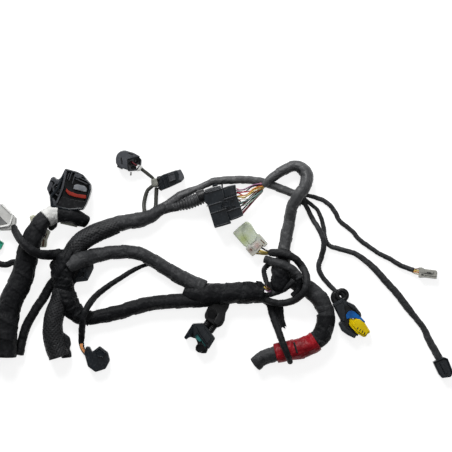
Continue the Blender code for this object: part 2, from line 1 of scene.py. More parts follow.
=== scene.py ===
# %% [markdown]
# The looks of a taped vehicle wiring harness, laid out flat and seen from above.
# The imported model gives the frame. Every place below is a place on the form board on which the
# harness is laid out: millimetres, x to the right and y down from the board's upper left corner,
# and z up from the floor. BOARD_ORIGIN is the board point above the model's own origin.

# %% Load the frame
import math

import bpy
from mathutils import Matrix, Vector, noise


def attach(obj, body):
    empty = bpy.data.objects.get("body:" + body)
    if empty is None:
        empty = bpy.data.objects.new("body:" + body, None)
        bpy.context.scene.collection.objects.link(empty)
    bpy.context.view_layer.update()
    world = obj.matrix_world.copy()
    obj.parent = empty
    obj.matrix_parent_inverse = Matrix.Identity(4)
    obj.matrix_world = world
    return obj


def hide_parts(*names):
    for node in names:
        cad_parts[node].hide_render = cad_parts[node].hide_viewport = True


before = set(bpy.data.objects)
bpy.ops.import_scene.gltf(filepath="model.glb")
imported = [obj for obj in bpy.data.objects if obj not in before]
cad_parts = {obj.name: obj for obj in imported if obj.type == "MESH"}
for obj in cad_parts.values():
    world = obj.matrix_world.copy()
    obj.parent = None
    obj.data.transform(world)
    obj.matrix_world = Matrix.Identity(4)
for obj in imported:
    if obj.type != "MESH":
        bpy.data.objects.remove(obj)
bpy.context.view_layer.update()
MM = 0.001
BOARD_ORIGIN = (164.0, 265.9)


def on_board(x, y, z=0.0):
    """Turn a board place in millimetres into the model's frame in metres."""
    return Vector(((x - BOARD_ORIGIN[0]) * MM, (BOARD_ORIGIN[1] - y) * MM, z * MM))


def deselect():
    """Leave object mode with nothing selected."""
    if bpy.context.object and bpy.context.object.mode != "OBJECT":
        bpy.ops.object.mode_set(mode="OBJECT")
    bpy.ops.object.select_all(action="DESELECT")


deselect()
print("frame:", len(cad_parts), "nodes")

# %% [markdown]
# The photograph looks straight down on the middle of the board from far away, so that one
# millimetre on the board is about one pixel of the 452 pixel frame. A long lens keeps the tall
# plugs from leaning outwards.

# %% Camera
PHOTO_WIDTH = 452
CAMERA_HEIGHT = 2500
camera_data = bpy.data.cameras.new("camera")
camera_data.sensor_width = 36
camera_data.lens = camera_data.sensor_width * CAMERA_HEIGHT / PHOTO_WIDTH
camera = bpy.data.objects.new("camera", camera_data)
camera.location = on_board(PHOTO_WIDTH / 2, PHOTO_WIDTH / 2, CAMERA_HEIGHT)
bpy.context.scene.collection.objects.link(camera)
bpy.context.scene.camera = camera
print(f"camera: {CAMERA_HEIGHT} mm up, {camera_data.lens:.0f} mm lens")

# %% [markdown]
# A finish is a small net of nodes that ends in a Principled shader. Three helpers put such nets
# together, so that a finish reads as a few lines: one fetches the shader, one does a sum with two
# outputs, and one stretches an output from one range to another.

# %% Node helpers
def shader_nodes(material):
    """Return a material's nodes, links and Principled shader."""
    material.use_nodes = True
    nodes = material.node_tree.nodes
    return nodes, material.node_tree.links, nodes["Principled BSDF"]


def combine(nodes, links, operation, first, second):
    """Return the output of a maths node. second is an output or a number."""
    node = nodes.new("ShaderNodeMath")
    node.operation = operation
    links.new(first, node.inputs[0])
    if isinstance(second, float):
        node.inputs[1].default_value = second
    else:
        links.new(second, node.inputs[1])
    return node.outputs[0]


def stretch(nodes, links, value, before=(0.0, 1.0), after=(0.0, 1.0), smooth=False):
    """Return a value output stretched from one range to another."""
    node = nodes.new("ShaderNodeMapRange")
    if smooth:
        node.interpolation_type = "SMOOTHSTEP"
    for name, limit in zip(("From Min", "From Max", "To Min", "To Max"), (*before, *after)):
        node.inputs[name].default_value = limit
    links.new(value, node.inputs["Value"])
    return node.outputs["Result"]


print("node helpers:", shader_nodes.__name__, combine.__name__, stretch.__name__)

# %% [markdown]
# The floor is plain and almost white. A plain white surface would do, but its light would wash out
# the black tape from below. So it looks brighter to the camera and in reflections than it lights
# the object, by a glow that only such rays see.

# %% Floor
FLOOR_GLOW = 0.82
FLOOR_GREY_LIT = 0.86
FLOOR_GREY_SEEN = 0.36
floor_material = bpy.data.materials.new("floor")
nodes, links, shader = shader_nodes(floor_material)
shader.inputs["Roughness"].default_value = 0.9
shader.inputs["Specular IOR Level"].default_value = 0.0
rays = nodes.new("ShaderNodeLightPath").outputs
seen = combine(nodes, links, "MAXIMUM", rays["Is Camera Ray"], rays["Is Glossy Ray"])
seen = combine(nodes, links, "MAXIMUM", seen, rays["Is Transmission Ray"])
glow = combine(nodes, links, "MULTIPLY", seen, FLOOR_GLOW)
shader.inputs["Emission Color"].default_value = (1, 1, 1, 1)
links.new(glow, shader.inputs["Emission Strength"])
grey = stretch(nodes, links, rays["Is Camera Ray"], after=(FLOOR_GREY_LIT, FLOOR_GREY_SEEN))
links.new(grey, shader.inputs["Base Color"])

bpy.ops.mesh.primitive_plane_add(size=8, location=on_board(PHOTO_WIDTH / 2, PHOTO_WIDTH / 2, -0.05))
floor = bpy.context.object
floor.name = "floor"
floor.data.materials.append(floor_material)
print(f"floor: {floor.dimensions.x:.0f} m wide, glow {FLOOR_GLOW}")

# %% [markdown]
# The lamps are large and soft, as in a studio with white walls. The key lamp stands beyond the
# upper edge of the board, because the lower flanks of the bundles are the dark ones in the
# photograph, and a fill lamp and a faint sky keep them from going quite black.

# %% Light
world = bpy.data.worlds.new("studio")
world.use_nodes = True
world.node_tree.nodes["Background"].inputs["Color"].default_value = (0.95, 0.97, 1, 1)
world.node_tree.nodes["Background"].inputs["Strength"].default_value = 0.14
bpy.context.scene.world = world


def lamp(name, place, size, watts):
    """Add a square area lamp that faces the middle of the harness."""
    data = bpy.data.lights.new(name, "AREA")
    data.size = size
    data.energy = watts
    lamp_object = bpy.data.objects.new(name, data)
    lamp_object.location = place
    aim = on_board(200, 270) - Vector(place)
    lamp_object.rotation_euler = aim.to_track_quat("-Z", "Y").to_euler()
    bpy.context.scene.collection.objects.link(lamp_object)
    print(f"{name} lamp: {size} m, {watts} W")


lamp("key", (-0.35, 1.25, 0.9), 0.8, 34)
lamp("fill", (0.6, 0.3, 1.8), 1.2, 7)
bpy.context.scene.view_settings.view_transform = "Standard"

# %% [markdown]
# The finishes. Nearly everything is some black, so the differences that tell the pieces apart are
# in the relief and the gloss: woven cloth tape is matt, vinyl tape has a soft sheen, the braid is a
# net of crossing threads and the moulded plugs are smooth with a fine grain. All of it is made by
# noise and not by images, so it stays sharp at any distance and hides no seams.

# %% Helpers for finishes
def mix_colours(nodes, links, factor, first, second):
    """Return the colour output of a mix of two colours by a factor output."""
    mix = nodes.new("ShaderNodeMix")
    mix.data_type = "RGBA"
    links.new(factor, mix.inputs["Factor"])
    for socket, value in ((mix.inputs["A"], first), (mix.inputs["B"], second)):
        if isinstance(value, tuple):
            socket.default_value = (*value, 1)
        else:
            links.new(value, socket)
    return mix.outputs["Result"]


def noise_factor(nodes, links, vector, scale, low, high, detail=4.0):
    """Return a noise between 0 and 1 that is stretched from low to high."""
    texture = nodes.new("ShaderNodeTexNoise")
    texture.inputs["Scale"].default_value = scale
    texture.inputs["Detail"].default_value = detail
    links.new(vector, texture.inputs["Vector"])
    return stretch(nodes, links, texture.outputs["Fac"], before=(low, high))


def add_bump(nodes, links, shader, height, distance, strength=1.0):
    """Add a bump of a height output on top of any bump the shader already has."""
    bump = nodes.new("ShaderNodeBump")
    bump.inputs["Distance"].default_value = distance
    bump.inputs["Strength"].default_value = strength
    links.new(height, bump.inputs["Height"])
    normal = shader.inputs["Normal"]
    if normal.is_linked:
        links.new(normal.links[0].from_socket, bump.inputs["Normal"])
    links.new(bump.outputs["Normal"], normal)


print("finish helpers:", mix_colours.__name__, noise_factor.__name__, add_bump.__name__)

# %% [markdown]
# Moulded plastic and rubber are one colour when new. After years in a car they carry patches and
# specks of dust, and where the dust lies they are duller. One helper makes every such finish: it
# mixes two close colours by a slow noise, adds dust as a third by a quick one, and sets the gloss
# by the same dust.

# %% Plain and dusty finishes
DUST_SCALE = 420


def dusty(name, dark, light, dust, roughness, grain, grain_depth, specular=0.35):
    """Make a finish of two close colours with patches of dust and a fine grain."""
    material = bpy.data.materials.new(name)
    nodes, links, shader = shader_nodes(material)
    place = nodes.new("ShaderNodeTexCoord").outputs["Object"]
    patches = noise_factor(nodes, links, place, 90, 0.35, 0.65)
    dusting = noise_factor(nodes, links, place, DUST_SCALE, 0.56, 0.78, detail=6)
    colour = mix_colours(nodes, links, patches, dark, light)
    colour = mix_colours(nodes, links, dusting, colour, dust)
    links.new(colour, shader.inputs["Base Color"])
    gloss = stretch(nodes, links, dusting, after=(roughness - 0.07, roughness + 0.1))
    links.new(gloss, shader.inputs["Roughness"])
    shader.inputs["Specular IOR Level"].default_value = specular
    fine = noise_factor(nodes, links, place, grain, 0.3, 0.7, detail=2)
    add_bump(nodes, links, shader, fine, grain_depth * MM)
    return material


charcoal = dusty("charcoal_plastic", (0.004, 0.0058, 0.008), (0.0085, 0.0115, 0.015),
                 (0.026, 0.029, 0.033), 0.36, 900, 0.02, specular=0.2)
grey_charcoal = dusty("moulded_grey_charcoal", (0.033, 0.035, 0.04), (0.052, 0.055, 0.062),
                      (0.075, 0.077, 0.082), 0.4, 900, 0.02, specular=0.25)
slider_grey = dusty("slider_grey", (0.11, 0.12, 0.135), (0.2, 0.21, 0.225),
                    (0.25, 0.25, 0.25), 0.5, 900, 0.05)
black_plastic = dusty("black_plastic", (0.005, 0.0054, 0.006), (0.0095, 0.01, 0.011),
                      (0.024, 0.025, 0.027), 0.4, 2600, 0.02, specular=0.22)
black_rubber = dusty("black_rubber", (0.0045, 0.0046, 0.005), (0.009, 0.0092, 0.0098),
                     (0.022, 0.022, 0.022), 0.5, 1500, 0.03, specular=0.16)
strand_sheath = dusty("strand_sheath", (0.026, 0.027, 0.023), (0.042, 0.043, 0.037),
                      (0.07, 0.07, 0.062), 0.5, 1500, 0.02, specular=0.2)
ribbed_black = dusty("corrugated_plastic", (0.02, 0.0205, 0.022), (0.034, 0.035, 0.037),
                     (0.06, 0.06, 0.062), 0.48, 1800, 0.02)
warm_grey = dusty("grey_plastic", (0.26, 0.26, 0.235), (0.32, 0.315, 0.285),
                  (0.2, 0.19, 0.16), 0.5, 2400, 0.02)
# Painted shade: a dark grey that stands for the shaded lower side of the white socket.
white_side_painted_shade = dusty("pale_grey_plastic", (0.095, 0.097, 0.096), (0.14, 0.142, 0.14),
                  (0.08, 0.08, 0.078), 0.5, 2400, 0.02)
white_plastic = dusty("white_plastic", (0.6, 0.6, 0.585), (0.68, 0.68, 0.665),
                      (0.46, 0.45, 0.42), 0.45, 2400, 0.02)
# Painted shade: a darker copy of the white plastic, for the white socket's housing beside its plain white
# rim.
white_painted_shade = dusty("shaded_white_plastic", (0.4, 0.4, 0.385), (0.47, 0.47, 0.455),
                     (0.33, 0.325, 0.3), 0.5, 2400, 0.02)
green_plastic = dusty("green_plastic", (0.012, 0.19, 0.12), (0.02, 0.25, 0.16),
                      (0.08, 0.24, 0.18), 0.42, 2400, 0.02)
yellow_plastic = dusty("yellow_plastic", (0.6, 0.43, 0.0), (0.7, 0.52, 0.0),
                       (0.45, 0.31, 0.0), 0.4, 2400, 0.01, specular=0.12)
red_rubber = dusty("red_silicone", (0.15, 0.013, 0.008), (0.25, 0.022, 0.013),
                   (0.12, 0.017, 0.012), 0.5, 1500, 0.03, specular=0.2)
blue_rubber = dusty("blue_silicone", (0.002, 0.055, 0.21), (0.004, 0.11, 0.38),
                    (0.004, 0.06, 0.16), 0.45, 1500, 0.03, specular=0.15)
teal_rubber = dusty("teal_silicone", (0.015, 0.11, 0.105), (0.03, 0.17, 0.16),
                    (0.03, 0.09, 0.09), 0.5, 1500, 0.03)
print("plain finishes:", len(bpy.data.materials) - 1)

# %% [markdown]
# Tape is wound in a helix, and each turn overlaps the last one. The mesh below has those laps as
# real steps, and it carries them as a point attribute named lap that runs from 0 at one edge of
# the tape to 1 at the next. The finish reads it to collect dust just behind an edge, over the first
# fifth of a lap. The fine weave of the cloth is a bump on the UV map, whose U runs along the bundle
# in centimetres and whose V runs round it once.

# %% Tape finishes
EDGE_WIDTH = 0.22


def tape(name, dark, light, dust, roughness, threads, specular=0.3, crumple=0.5):
    """Make a wound tape finish with dusty lap edges and a woven bump. Crumple is the depth of its
    soft dents in millimetres."""
    material = bpy.data.materials.new(name)
    nodes, links, shader = shader_nodes(material)
    coordinates = nodes.new("ShaderNodeTexCoord")
    place = coordinates.outputs["Object"]
    lap = nodes.new("ShaderNodeAttribute")
    lap.attribute_name = "lap"
    patches = noise_factor(nodes, links, place, 60, 0.3, 0.7)
    colour = mix_colours(nodes, links, patches, dark, light)
    edge = stretch(nodes, links, lap.outputs["Fac"], before=(0.0, EDGE_WIDTH), after=(0.75, 0.0))
    specks = noise_factor(nodes, links, place, DUST_SCALE, 0.45, 0.75)
    dusting = combine(nodes, links, "MULTIPLY", edge, specks)
    colour = mix_colours(nodes, links, dusting, colour, dust)
    worn = noise_factor(nodes, links, place, 240, 0.62, 0.85, detail=5)
    colour = mix_colours(nodes, links, worn, colour, dust)
    links.new(colour, shader.inputs["Base Color"])
    shader.inputs["Roughness"].default_value = roughness
    shader.inputs["Specular IOR Level"].default_value = specular
    mapping = nodes.new("ShaderNodeMapping")
    mapping.inputs["Scale"].default_value = (threads, threads * 6, 1)
    links.new(coordinates.outputs["UV"], mapping.inputs["Vector"])
    weave = nodes.new("ShaderNodeTexChecker")
    weave.inputs["Scale"].default_value = 1
    links.new(mapping.outputs["Vector"], weave.inputs["Vector"])
    add_bump(nodes, links, shader, weave.outputs["Fac"], 0.04 * MM, 0.6)
    wrinkles = noise_factor(nodes, links, place, 900, 0.25, 0.75, detail=3)
    add_bump(nodes, links, shader, wrinkles, 0.06 * MM, 0.5)
    crumples = noise_factor(nodes, links, place, 170, 0.3, 0.7, detail=1)
    add_bump(nodes, links, shader, crumples, crumple * MM, 0.8)
    return material


cloth_tape = tape("cloth_tape", (0.003, 0.0034, 0.0041), (0.0095, 0.01, 0.0112),
                  (0.028, 0.0285, 0.03), 0.58, 22, specular=0.12)
worn_cloth_tape = tape("worn_cloth_tape", (0.008, 0.0085, 0.0095), (0.019, 0.0195, 0.021),
                       (0.04, 0.041, 0.043), 0.56, 22, specular=0.16)
grey_cloth_tape = tape("grey_cloth_tape", (0.014, 0.0147, 0.016), (0.03, 0.031, 0.033),
                       (0.065, 0.066, 0.068), 0.56, 22, specular=0.2)
vinyl_tape = tape("vinyl_tape", (0.041, 0.042, 0.044), (0.061, 0.062, 0.064),
                  (0.1, 0.1, 0.1), 0.48, 4, specular=0.3, crumple=0.25)
red_band_tape = tape("red_vinyl_tape", (0.1, 0.003, 0.006), (0.27, 0.006, 0.012),
                     (0.36, 0.03, 0.034), 0.42, 4, specular=0.14)
white_band_tape = tape("white_marker_tape", (0.43, 0.43, 0.42), (0.56, 0.56, 0.545),
                       (0.26, 0.255, 0.24), 0.7, 14)
tan_band_tape = tape("tan_marker_tape", (0.16, 0.165, 0.145), (0.24, 0.24, 0.21),
                     (0.1, 0.1, 0.09), 0.75, 18)
print("finishes so far:", len(bpy.data.materials))

# %% [markdown]
# The braid is a net of flat threads that cross over and under each other. The mesh of the sleeve has the
# same relief, and the finish paints shade by it: its colour follows how high the thread lies, near black
# in the gaps and a little lighter on the thread tops, as painted shade. It reads the point attribute
# named thread, which the mesh writes.

# %% Braid finish
braid = bpy.data.materials.new("braided_sleeve")
nodes, links, shader = shader_nodes(braid)
thread = nodes.new("ShaderNodeAttribute")
thread.attribute_name = "thread"
place = nodes.new("ShaderNodeTexCoord").outputs["Object"]
worn = noise_factor(nodes, links, place, 70, 0.3, 0.7)
top = mix_colours(nodes, links, worn, (0.0075, 0.008, 0.0088), (0.028, 0.0288, 0.031))
# Painted shade: the lower a point of the thread lies, the darker it is, so the gaps go near black.
colour = mix_colours(nodes, links, thread.outputs["Fac"], (0.003, 0.003, 0.0035), top)
links.new(colour, shader.inputs["Base Color"])
shader.inputs["Roughness"].default_value = 0.55
shader.inputs["Specular IOR Level"].default_value = 0.22
add_bump(nodes, links, shader, noise_factor(nodes, links, place, 1800, 0.3, 0.7), 0.03 * MM)
print("braid finish:", len(nodes), "nodes")

# %% [markdown]
# A bundle follows a route: a few points, each with x, y, diameter and the height of the bundle's
# underside above the floor, as in the model's source. A Blender curve with a bevel could be drawn
# through them, but its diameter and its relief are hard to control. So the points of a smooth curve
# are worked out here, at an even spacing, with the diameter as a fourth coordinate.

# %% Smooth curve through a route
CURVE_STEPS = 24


def smooth_route(route, spacing):
    """Sample a smooth curve through a route at an even spacing, as (place in mm, diameter)."""
    knots = [Vector((x, y, lift + diameter / 2, diameter)) for x, y, diameter, lift in route]
    knots = [2 * knots[0] - knots[1]] + knots + [2 * knots[-1] - knots[-2]]
    dense = []
    for before, start, end, after in zip(knots, knots[1:], knots[2:], knots[3:]):
        for step in range(CURVE_STEPS):
            t = step / CURVE_STEPS
            dense.append(0.5 * (2 * start + (end - before) * t
                                + (2 * before - 5 * start + 4 * end - after) * t ** 2
                                + (3 * start - before - 3 * end + after) * t ** 3))
    dense.append(knots[-2])
    travelled = [0.0]
    for here, there in zip(dense, dense[1:]):
        travelled.append(travelled[-1] + (there.xyz - here.xyz).length)
    count = max(2, round(travelled[-1] / spacing))
    samples = []
    index = 0
    for step in range(count + 1):
        target = travelled[-1] * step / count
        while index < len(dense) - 2 and travelled[index + 1] < target:
            index += 1
        span = travelled[index + 1] - travelled[index]
        sample = dense[index].lerp(dense[index + 1], (target - travelled[index]) / max(span, 1e-9))
        sample.z = max(sample.z, sample.w / 2)
        samples.append(sample)
    return samples, travelled[-1]


plain_samples, plain_length = smooth_route([(0, 0, 10, 0), (100, 0, 10, 0)], 1.0)
print(f"a plain route of {plain_length:.0f} mm: {len(plain_samples)} rows of points")

# %% [markdown]
# Wound tape isn't a smooth tube. It has slow and quick lumps where wires lie crossed below it, flat
# facets, creases, and small folds on the inner side of each bend. Modifiers could push a tube about
# too, but they wouldn't know on which side a bend's inner flank is. FACET_DEPTH, CREASE_DEPTH and
# FLAT_DEPTH are shares of the bundle's radius, and MOST_CREASE_DEPTH is millimetres.

# %% Relief of hand-wound tape
FULL_TURN = 2 * math.pi
SLOW_LUMPS = 0.12
QUICK_LUMPS = 0.45
FACET_DEPTH = 0.09
CREASE_DEPTH = 0.06
MOST_CREASE_DEPTH = 0.4
FLAT_DEPTH = 0.035
FOLD_DEPTH = 9


def fold_relief(along, side, bend, slow):
    """Return how far the small folds inside a bend push a point inwards, in millimetres."""
    inner = max(0.0, side.dot(bend))
    return FOLD_DEPTH * inner * (0.5 + 0.5 * math.sin(2.3 * along + 4 * slow))


def worn_relief(skin, tangent, along, around, radius, seed):
    """Return the relief of the facets, creases and flattened sides, in millimetres."""
    angle = FULL_TURN * around
    facet_place = Vector((along * 0.05, 1.6 * math.cos(angle), 1.6 * math.sin(angle)))
    facet = noise.noise(facet_place + seed)
    crease = noise.noise(skin * 0.14 + tangent * 2 * around + seed * 2)
    crease_depth = min(MOST_CREASE_DEPTH, CREASE_DEPTH * radius)
    flat = math.cos(2 * (angle - 0.02 * along - seed.x))
    return (FACET_DEPTH * radius * (abs(facet) - 0.25)
            - crease_depth * max(0.0, 1 - abs(crease) * 9)
            + FLAT_DEPTH * radius * flat)


nowhere = Vector((0, 0, 0))
print(f"worn relief at one place: {worn_relief(nowhere, nowhere, 0.0, 0.0, 10.0, nowhere):.2f} mm")

# %% [markdown]
# A bundle starts as a flat grid with a row of faces for each millimetre of its length. The grid is
# rolled into a tube along the smooth curve, every point is moved in or out by the relief and by the
# laps of the tape, and then points that meet are merged, which closes the ends. The seam runs along
# the top. Where a crease reaches it from one side only, its two sides don't meet, and a slit of up
# to MOST_CREASE_DEPTH stays open. The rows in END_STEPS round off each end, by a bulge of END_BULGE
# millimetres, and no point goes below LOWEST millimetres.

# %% Roll a grid into a wound bundle
END_STEPS = (0.0, 0.5, 0.8, 0.95)
BEND_REACH = 3
END_BULGE = 1.2
LOWEST = 0.03


def directions(centres):
    """Return the direction of a curve at each of its points."""
    found = []
    for index in range(len(centres)):
        ahead = centres[min(index + 1, len(centres) - 1)]
        behind = centres[max(index - 1, 0)]
        found.append((ahead - behind).normalized())
    return found


def finish_roll(piece, length, lap_values, thread_values, finish):
    """Store the values that the finish reads, stretch the UVs, and merge points that meet."""
    for attribute, values in (("lap", lap_values), ("thread", thread_values)):
        data = piece.data.attributes.new(attribute, "FLOAT", "POINT").data
        for item, value in zip(data, values):
            item.value = value
    for item in piece.data.uv_layers.active.data:
        item.uv = (item.uv[0] * length / 10, item.uv[1])
    bpy.ops.object.mode_set(mode="EDIT")
    bpy.ops.mesh.select_all(action="SELECT")
    bpy.ops.mesh.remove_doubles(threshold=0.002 * MM)
    bpy.ops.mesh.normals_make_consistent(inside=False)
    bpy.ops.mesh.faces_shade_smooth()
    deselect()
    piece.data.materials.append(finish)


def roll(name, route, finish, lap_pitch=9.0, lap_height=0.35, lumps=0.035, sides=36, spacing=1.0,
         profile=None, turn=1):
    """Roll a grid into a bundle along a route. profile(along, around) gives extra relief."""
    samples, length = smooth_route(route, spacing)
    centres = [Vector((sample.x, -sample.y, sample.z)) for sample in samples]
    tangents = directions(centres)
    last = len(centres) - 1
    order = [(0, factor) for factor in END_STEPS]
    order += [(index, 1.0) for index in range(1, last)]
    order += [(last, factor) for factor in reversed(END_STEPS)]
    bpy.ops.mesh.primitive_grid_add(x_subdivisions=len(order) - 1, y_subdivisions=sides, size=1)
    piece = bpy.context.object
    piece.name = piece.data.name = name
    lap_values = []
    thread_values = []
    seed = Vector((sum(map(ord, name)) % 97, 0, 0))
    for vertex in piece.data.vertices:
        row = round((vertex.co.x + 0.5) * (len(order) - 1))
        around = round((vertex.co.y + 0.5) * sides) / sides
        index, cap = order[row]
        along = length * index / last
        centre, tangent, plain_radius = centres[index], tangents[index], samples[index].w / 2
        up = (Vector((0, 0, 1)) - tangent * tangent.z).normalized()
        across = tangent.cross(up)
        side = up * math.cos(FULL_TURN * around) + across * math.sin(FULL_TURN * around)
        bend = tangents[min(index + BEND_REACH, last)] - tangents[max(index - BEND_REACH, 0)]
        bend /= max(1.0, 2 * BEND_REACH * spacing)
        skin = centre + side * plain_radius
        slow = noise.noise(skin * SLOW_LUMPS + seed)
        quick = noise.noise(skin * QUICK_LUMPS + seed)
        wander = noise.noise(Vector((along * 0.06, 3.3, 1.7)) + seed)
        phase = (along / lap_pitch + turn * around + 0.25 * wander) % 1.0
        radius = plain_radius * (1 + lumps * slow + 0.4 * lumps * quick)
        radius += lap_height * (0.5 - phase)
        if lumps:
            radius += worn_relief(skin, tangent, along, around, plain_radius, seed)
        radius -= fold_relief(along, side, bend, slow)
        thread_value = 0.0
        if profile:
            extra, thread_value = profile(along, around)
            radius += extra
        here = centre + side * radius * cap
        if 0.0 < cap < 1.0:
            inwards = tangent if index == 0 else -tangent
            here += inwards * END_BULGE * (1 - math.sqrt(1 - cap ** 2))
        vertex.co = on_board(here.x, -here.y, max(here.z, LOWEST))
        lap_values.append(phase)
        thread_values.append(thread_value)
    finish_roll(piece, length, lap_values, thread_values, finish)
    return piece


print("rows that round off an end:", len(END_STEPS))

# %% [markdown]
# The thick bundles come first. Their routes follow the photograph: each point is x and y on the
# board, the diameter of the bundle there and the height of its underside, all in millimetres. They
# could be traced from the picture by a program, but where bundles cross it would take one for the
# other, so the points are chosen one by one. They start from the model's own routes
# and are finer: here and there a bundle lies up to 4 mm beside its solid or is up to 3 mm thicker,
# because the photograph shows it so, and some run on into the bundle that they part from. Each one
# still lies over its own solid.

# %% Routes of the trunks
TRUNK_LEFT = [
    (5, 357, 24, 0), (5.8, 335, 25.4, 0), (8.4, 315, 24.4, 0), (13.6, 297, 24.2, 0), (22, 280, 24.4, 0),
    (27, 262, 23, 2), (30.4, 247, 21.4, 6), (37, 232, 19, 9), (44, 221, 17, 9), (53, 215, 17, 6),
    (62, 214.2, 16, 6.4), (71, 215, 15.6, 6), (80, 218.6, 14.6, 3), (87.8, 222.4, 11.6, 0.4),
]
TRUNK_MAIN = [
    (60, 357, 20, 0), (56, 345, 20, 0), (53.5, 332, 20, 0), (54.5, 318, 20, 0), (60, 302, 20, 0),
    (64, 288, 20, 1),
]
TRUNK_UPPER_BRAID = [
    (69, 263, 20, 1), (73, 253, 20, 0), (81, 242.6, 20, 0), (92, 235.2, 20, 0), (104, 229.8, 19, 0),
    (118, 224.6, 16.5, 0),
]
TRUNK_UPPER_TAPE = [
    (114, 225.2, 15, 1), (119, 223.7, 16, 0), (128, 222, 15, 0), (140, 220, 16, 0), (152, 215.5, 14, 0),
    (160, 210.5, 12, 0), (166, 207, 10, 0),
]
JUNCTION = [
    (69.4, 253, 19, 0), (66, 261, 24, 0), (63.5, 273, 24, 0), (64.5, 287, 21.5, 0), (68, 299, 21, 0),
    (74, 308.5, 18.5, 0), (82, 315.5, 15.5, 0), (91, 318, 14, 0),
]
BRANCH_UPPER = [
    (68, 267, 13, 14), (75, 262.5, 15.5, 12), (85, 259, 15.5, 8), (96, 255.6, 14.5, 2),
    (112, 252.5, 13.4, 0), (130, 252, 13.6, 0), (143, 255, 13.8, 0), (156, 262.2, 14.2, 0),
    (170, 270.6, 15, 0), (186, 279.8, 16, 0), (205, 288.6, 16.5, 1),
]
BRANCH_LOWER = [
    (66, 308, 13, 4), (80, 316.5, 14, 0), (92, 317.5, 13.5, 0), (106, 315, 14, 0),
    (120, 311.8, 14.4, 0), (138, 306.3, 14.6, 0), (158, 302.4, 15, 0), (178, 300.8, 15.2, 0),
    (203, 299.8, 15, 1), (213, 299, 13, 1.5),
]
TRUNK_MIDDLE = [
    (184, 290, 12, 1), (192, 292.6, 17, 0), (200, 293.5, 20, 0), (210, 293.5, 20.5, 0),
    (230, 293.2, 20.5, 0), (250, 292.5, 21, 0), (264, 293, 19, 0),
]
BUNDLE_UPPER = [
    (156, 210.6, 8, 2), (169, 203.4, 8.6, 0), (180, 196, 8.6, 0), (190.4, 191.2, 7.4, 0),
    (200, 187.4, 6.2, 0), (208, 183.6, 6.4, 0), (216, 181, 7.4, 0), (240, 179.8, 8, 0),
    (258, 181.2, 8.2, 0), (272, 185.4, 8.4, 0), (286, 190.8, 8.6, 0), (298, 195, 8.4, 0),
    (305, 197.8, 7.4, 0),
]
CORRUGATED_TUBE = [
    (171, 208, 8.4, 1.5), (177, 206.4, 9, 1.5), (181.6, 205.2, 10, 2.4), (186, 203.8, 11.8, 2.6),
    (193, 201.2, 12.6, 4), (202, 197.6, 12.6, 5.4),
]
BUNDLE_LOOP = [
    (262.6, 186.6, 4.5, 6.5), (267, 182.4, 7.5, 5), (272.4, 177.6, 9.4, 3.4), (281.4, 171.6, 10.6, 2),
    (291.4, 166.8, 11.4, 1), (300.4, 167.8, 13, 1), (306.6, 176.6, 13.6, 4), (303.8, 187.6, 13, 8),
    (297, 197, 12, 9), (291.8, 208, 11.6, 5), (289.2, 221, 11.6, 0), (286.2, 236, 11.8, 0),
    (283.8, 250, 12, 0), (282.8, 256, 12, 1),
]
LOOP_CORE = [
    (285, 249, 12.5, 0), (282.8, 260, 15.5, 0), (281.4, 270, 20, 0), (281, 277, 20, 0),
    (280, 284, 19, 0), (279, 289.5, 15, 0),
]
TRUNK_RIGHT = [
    (286, 281, 13, 1), (294, 282.5, 15, 0), (304, 287, 17, 0), (317, 296, 17.5, 0),
    (324.8, 309.6, 17, 0), (325, 322.6, 17, 1), (322.6, 332, 17, 1.4), (316.2, 340, 17, 1.4),
    (306, 345.8, 17, 1.4), (295, 349, 17, 1.4), (278, 352.6, 16.5, 1.4), (263.4, 357.4, 15.5, 0.5),
    (254, 364.5, 14.5, 0),
]
trunk_routes = (TRUNK_LEFT, TRUNK_MAIN, TRUNK_UPPER_BRAID, TRUNK_UPPER_TAPE, JUNCTION, BRANCH_UPPER,
                BRANCH_LOWER, TRUNK_MIDDLE, BUNDLE_UPPER, CORRUGATED_TUBE, BUNDLE_LOOP, LOOP_CORE,
                TRUNK_RIGHT)
print(f"trunk routes: {len(trunk_routes)}, {sum(map(len, trunk_routes))} points")

# %% [markdown]
# The sleeve's threads run in two helices against each other. Where they cross, one lies on top, so
# the relief is the higher of two waves. The corrugated tube's ribs are rings along its length.

# %% Reliefs of the sleeve and the ribbed tube
THREADS_ROUND = 16
THREAD_PITCH = 4.0
RIB_SPACING = 3.0


def braid_relief(along, around):
    """Return the relief of the crossing threads at one point, and how high its thread lies."""
    first = 0.5 + 0.5 * math.cos(FULL_TURN * (THREADS_ROUND * around + along / THREAD_PITCH))
    second = 0.5 + 0.5 * math.cos(FULL_TURN * (THREADS_ROUND * around - along / THREAD_PITCH))
    height = max(first, second)
    return 0.4 * (height - 0.5), height


def rib_relief(along, around):
    """Return the relief of the tube's ribs, which are flat on top and in their grooves."""
    wave = math.cos(FULL_TURN * along / RIB_SPACING)
    return 0.5 * max(-1.0, min(1.0, 2.2 * wave)), 0.5 + 0.5 * wave


print("braid relief on a crossing:", braid_relief(0.0, 0.0))
print("rib relief on a rib:", rib_relief(0.0, 0.0))

# %% [markdown]
# Each trunk stands in for its own solid. The junction and the tape next to it are lumpier than the
# rest, because they were wound by hand over parting branches.

# %% Trunks
def trunk(name, route, node, finish, slot, **relief):
    """Roll a trunk and let it stand for its solid."""
    piece = roll(name, route, finish, **relief)
    print(f"{name}: {len(piece.data.polygons)} faces")
    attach(piece, "root")
    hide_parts(node)


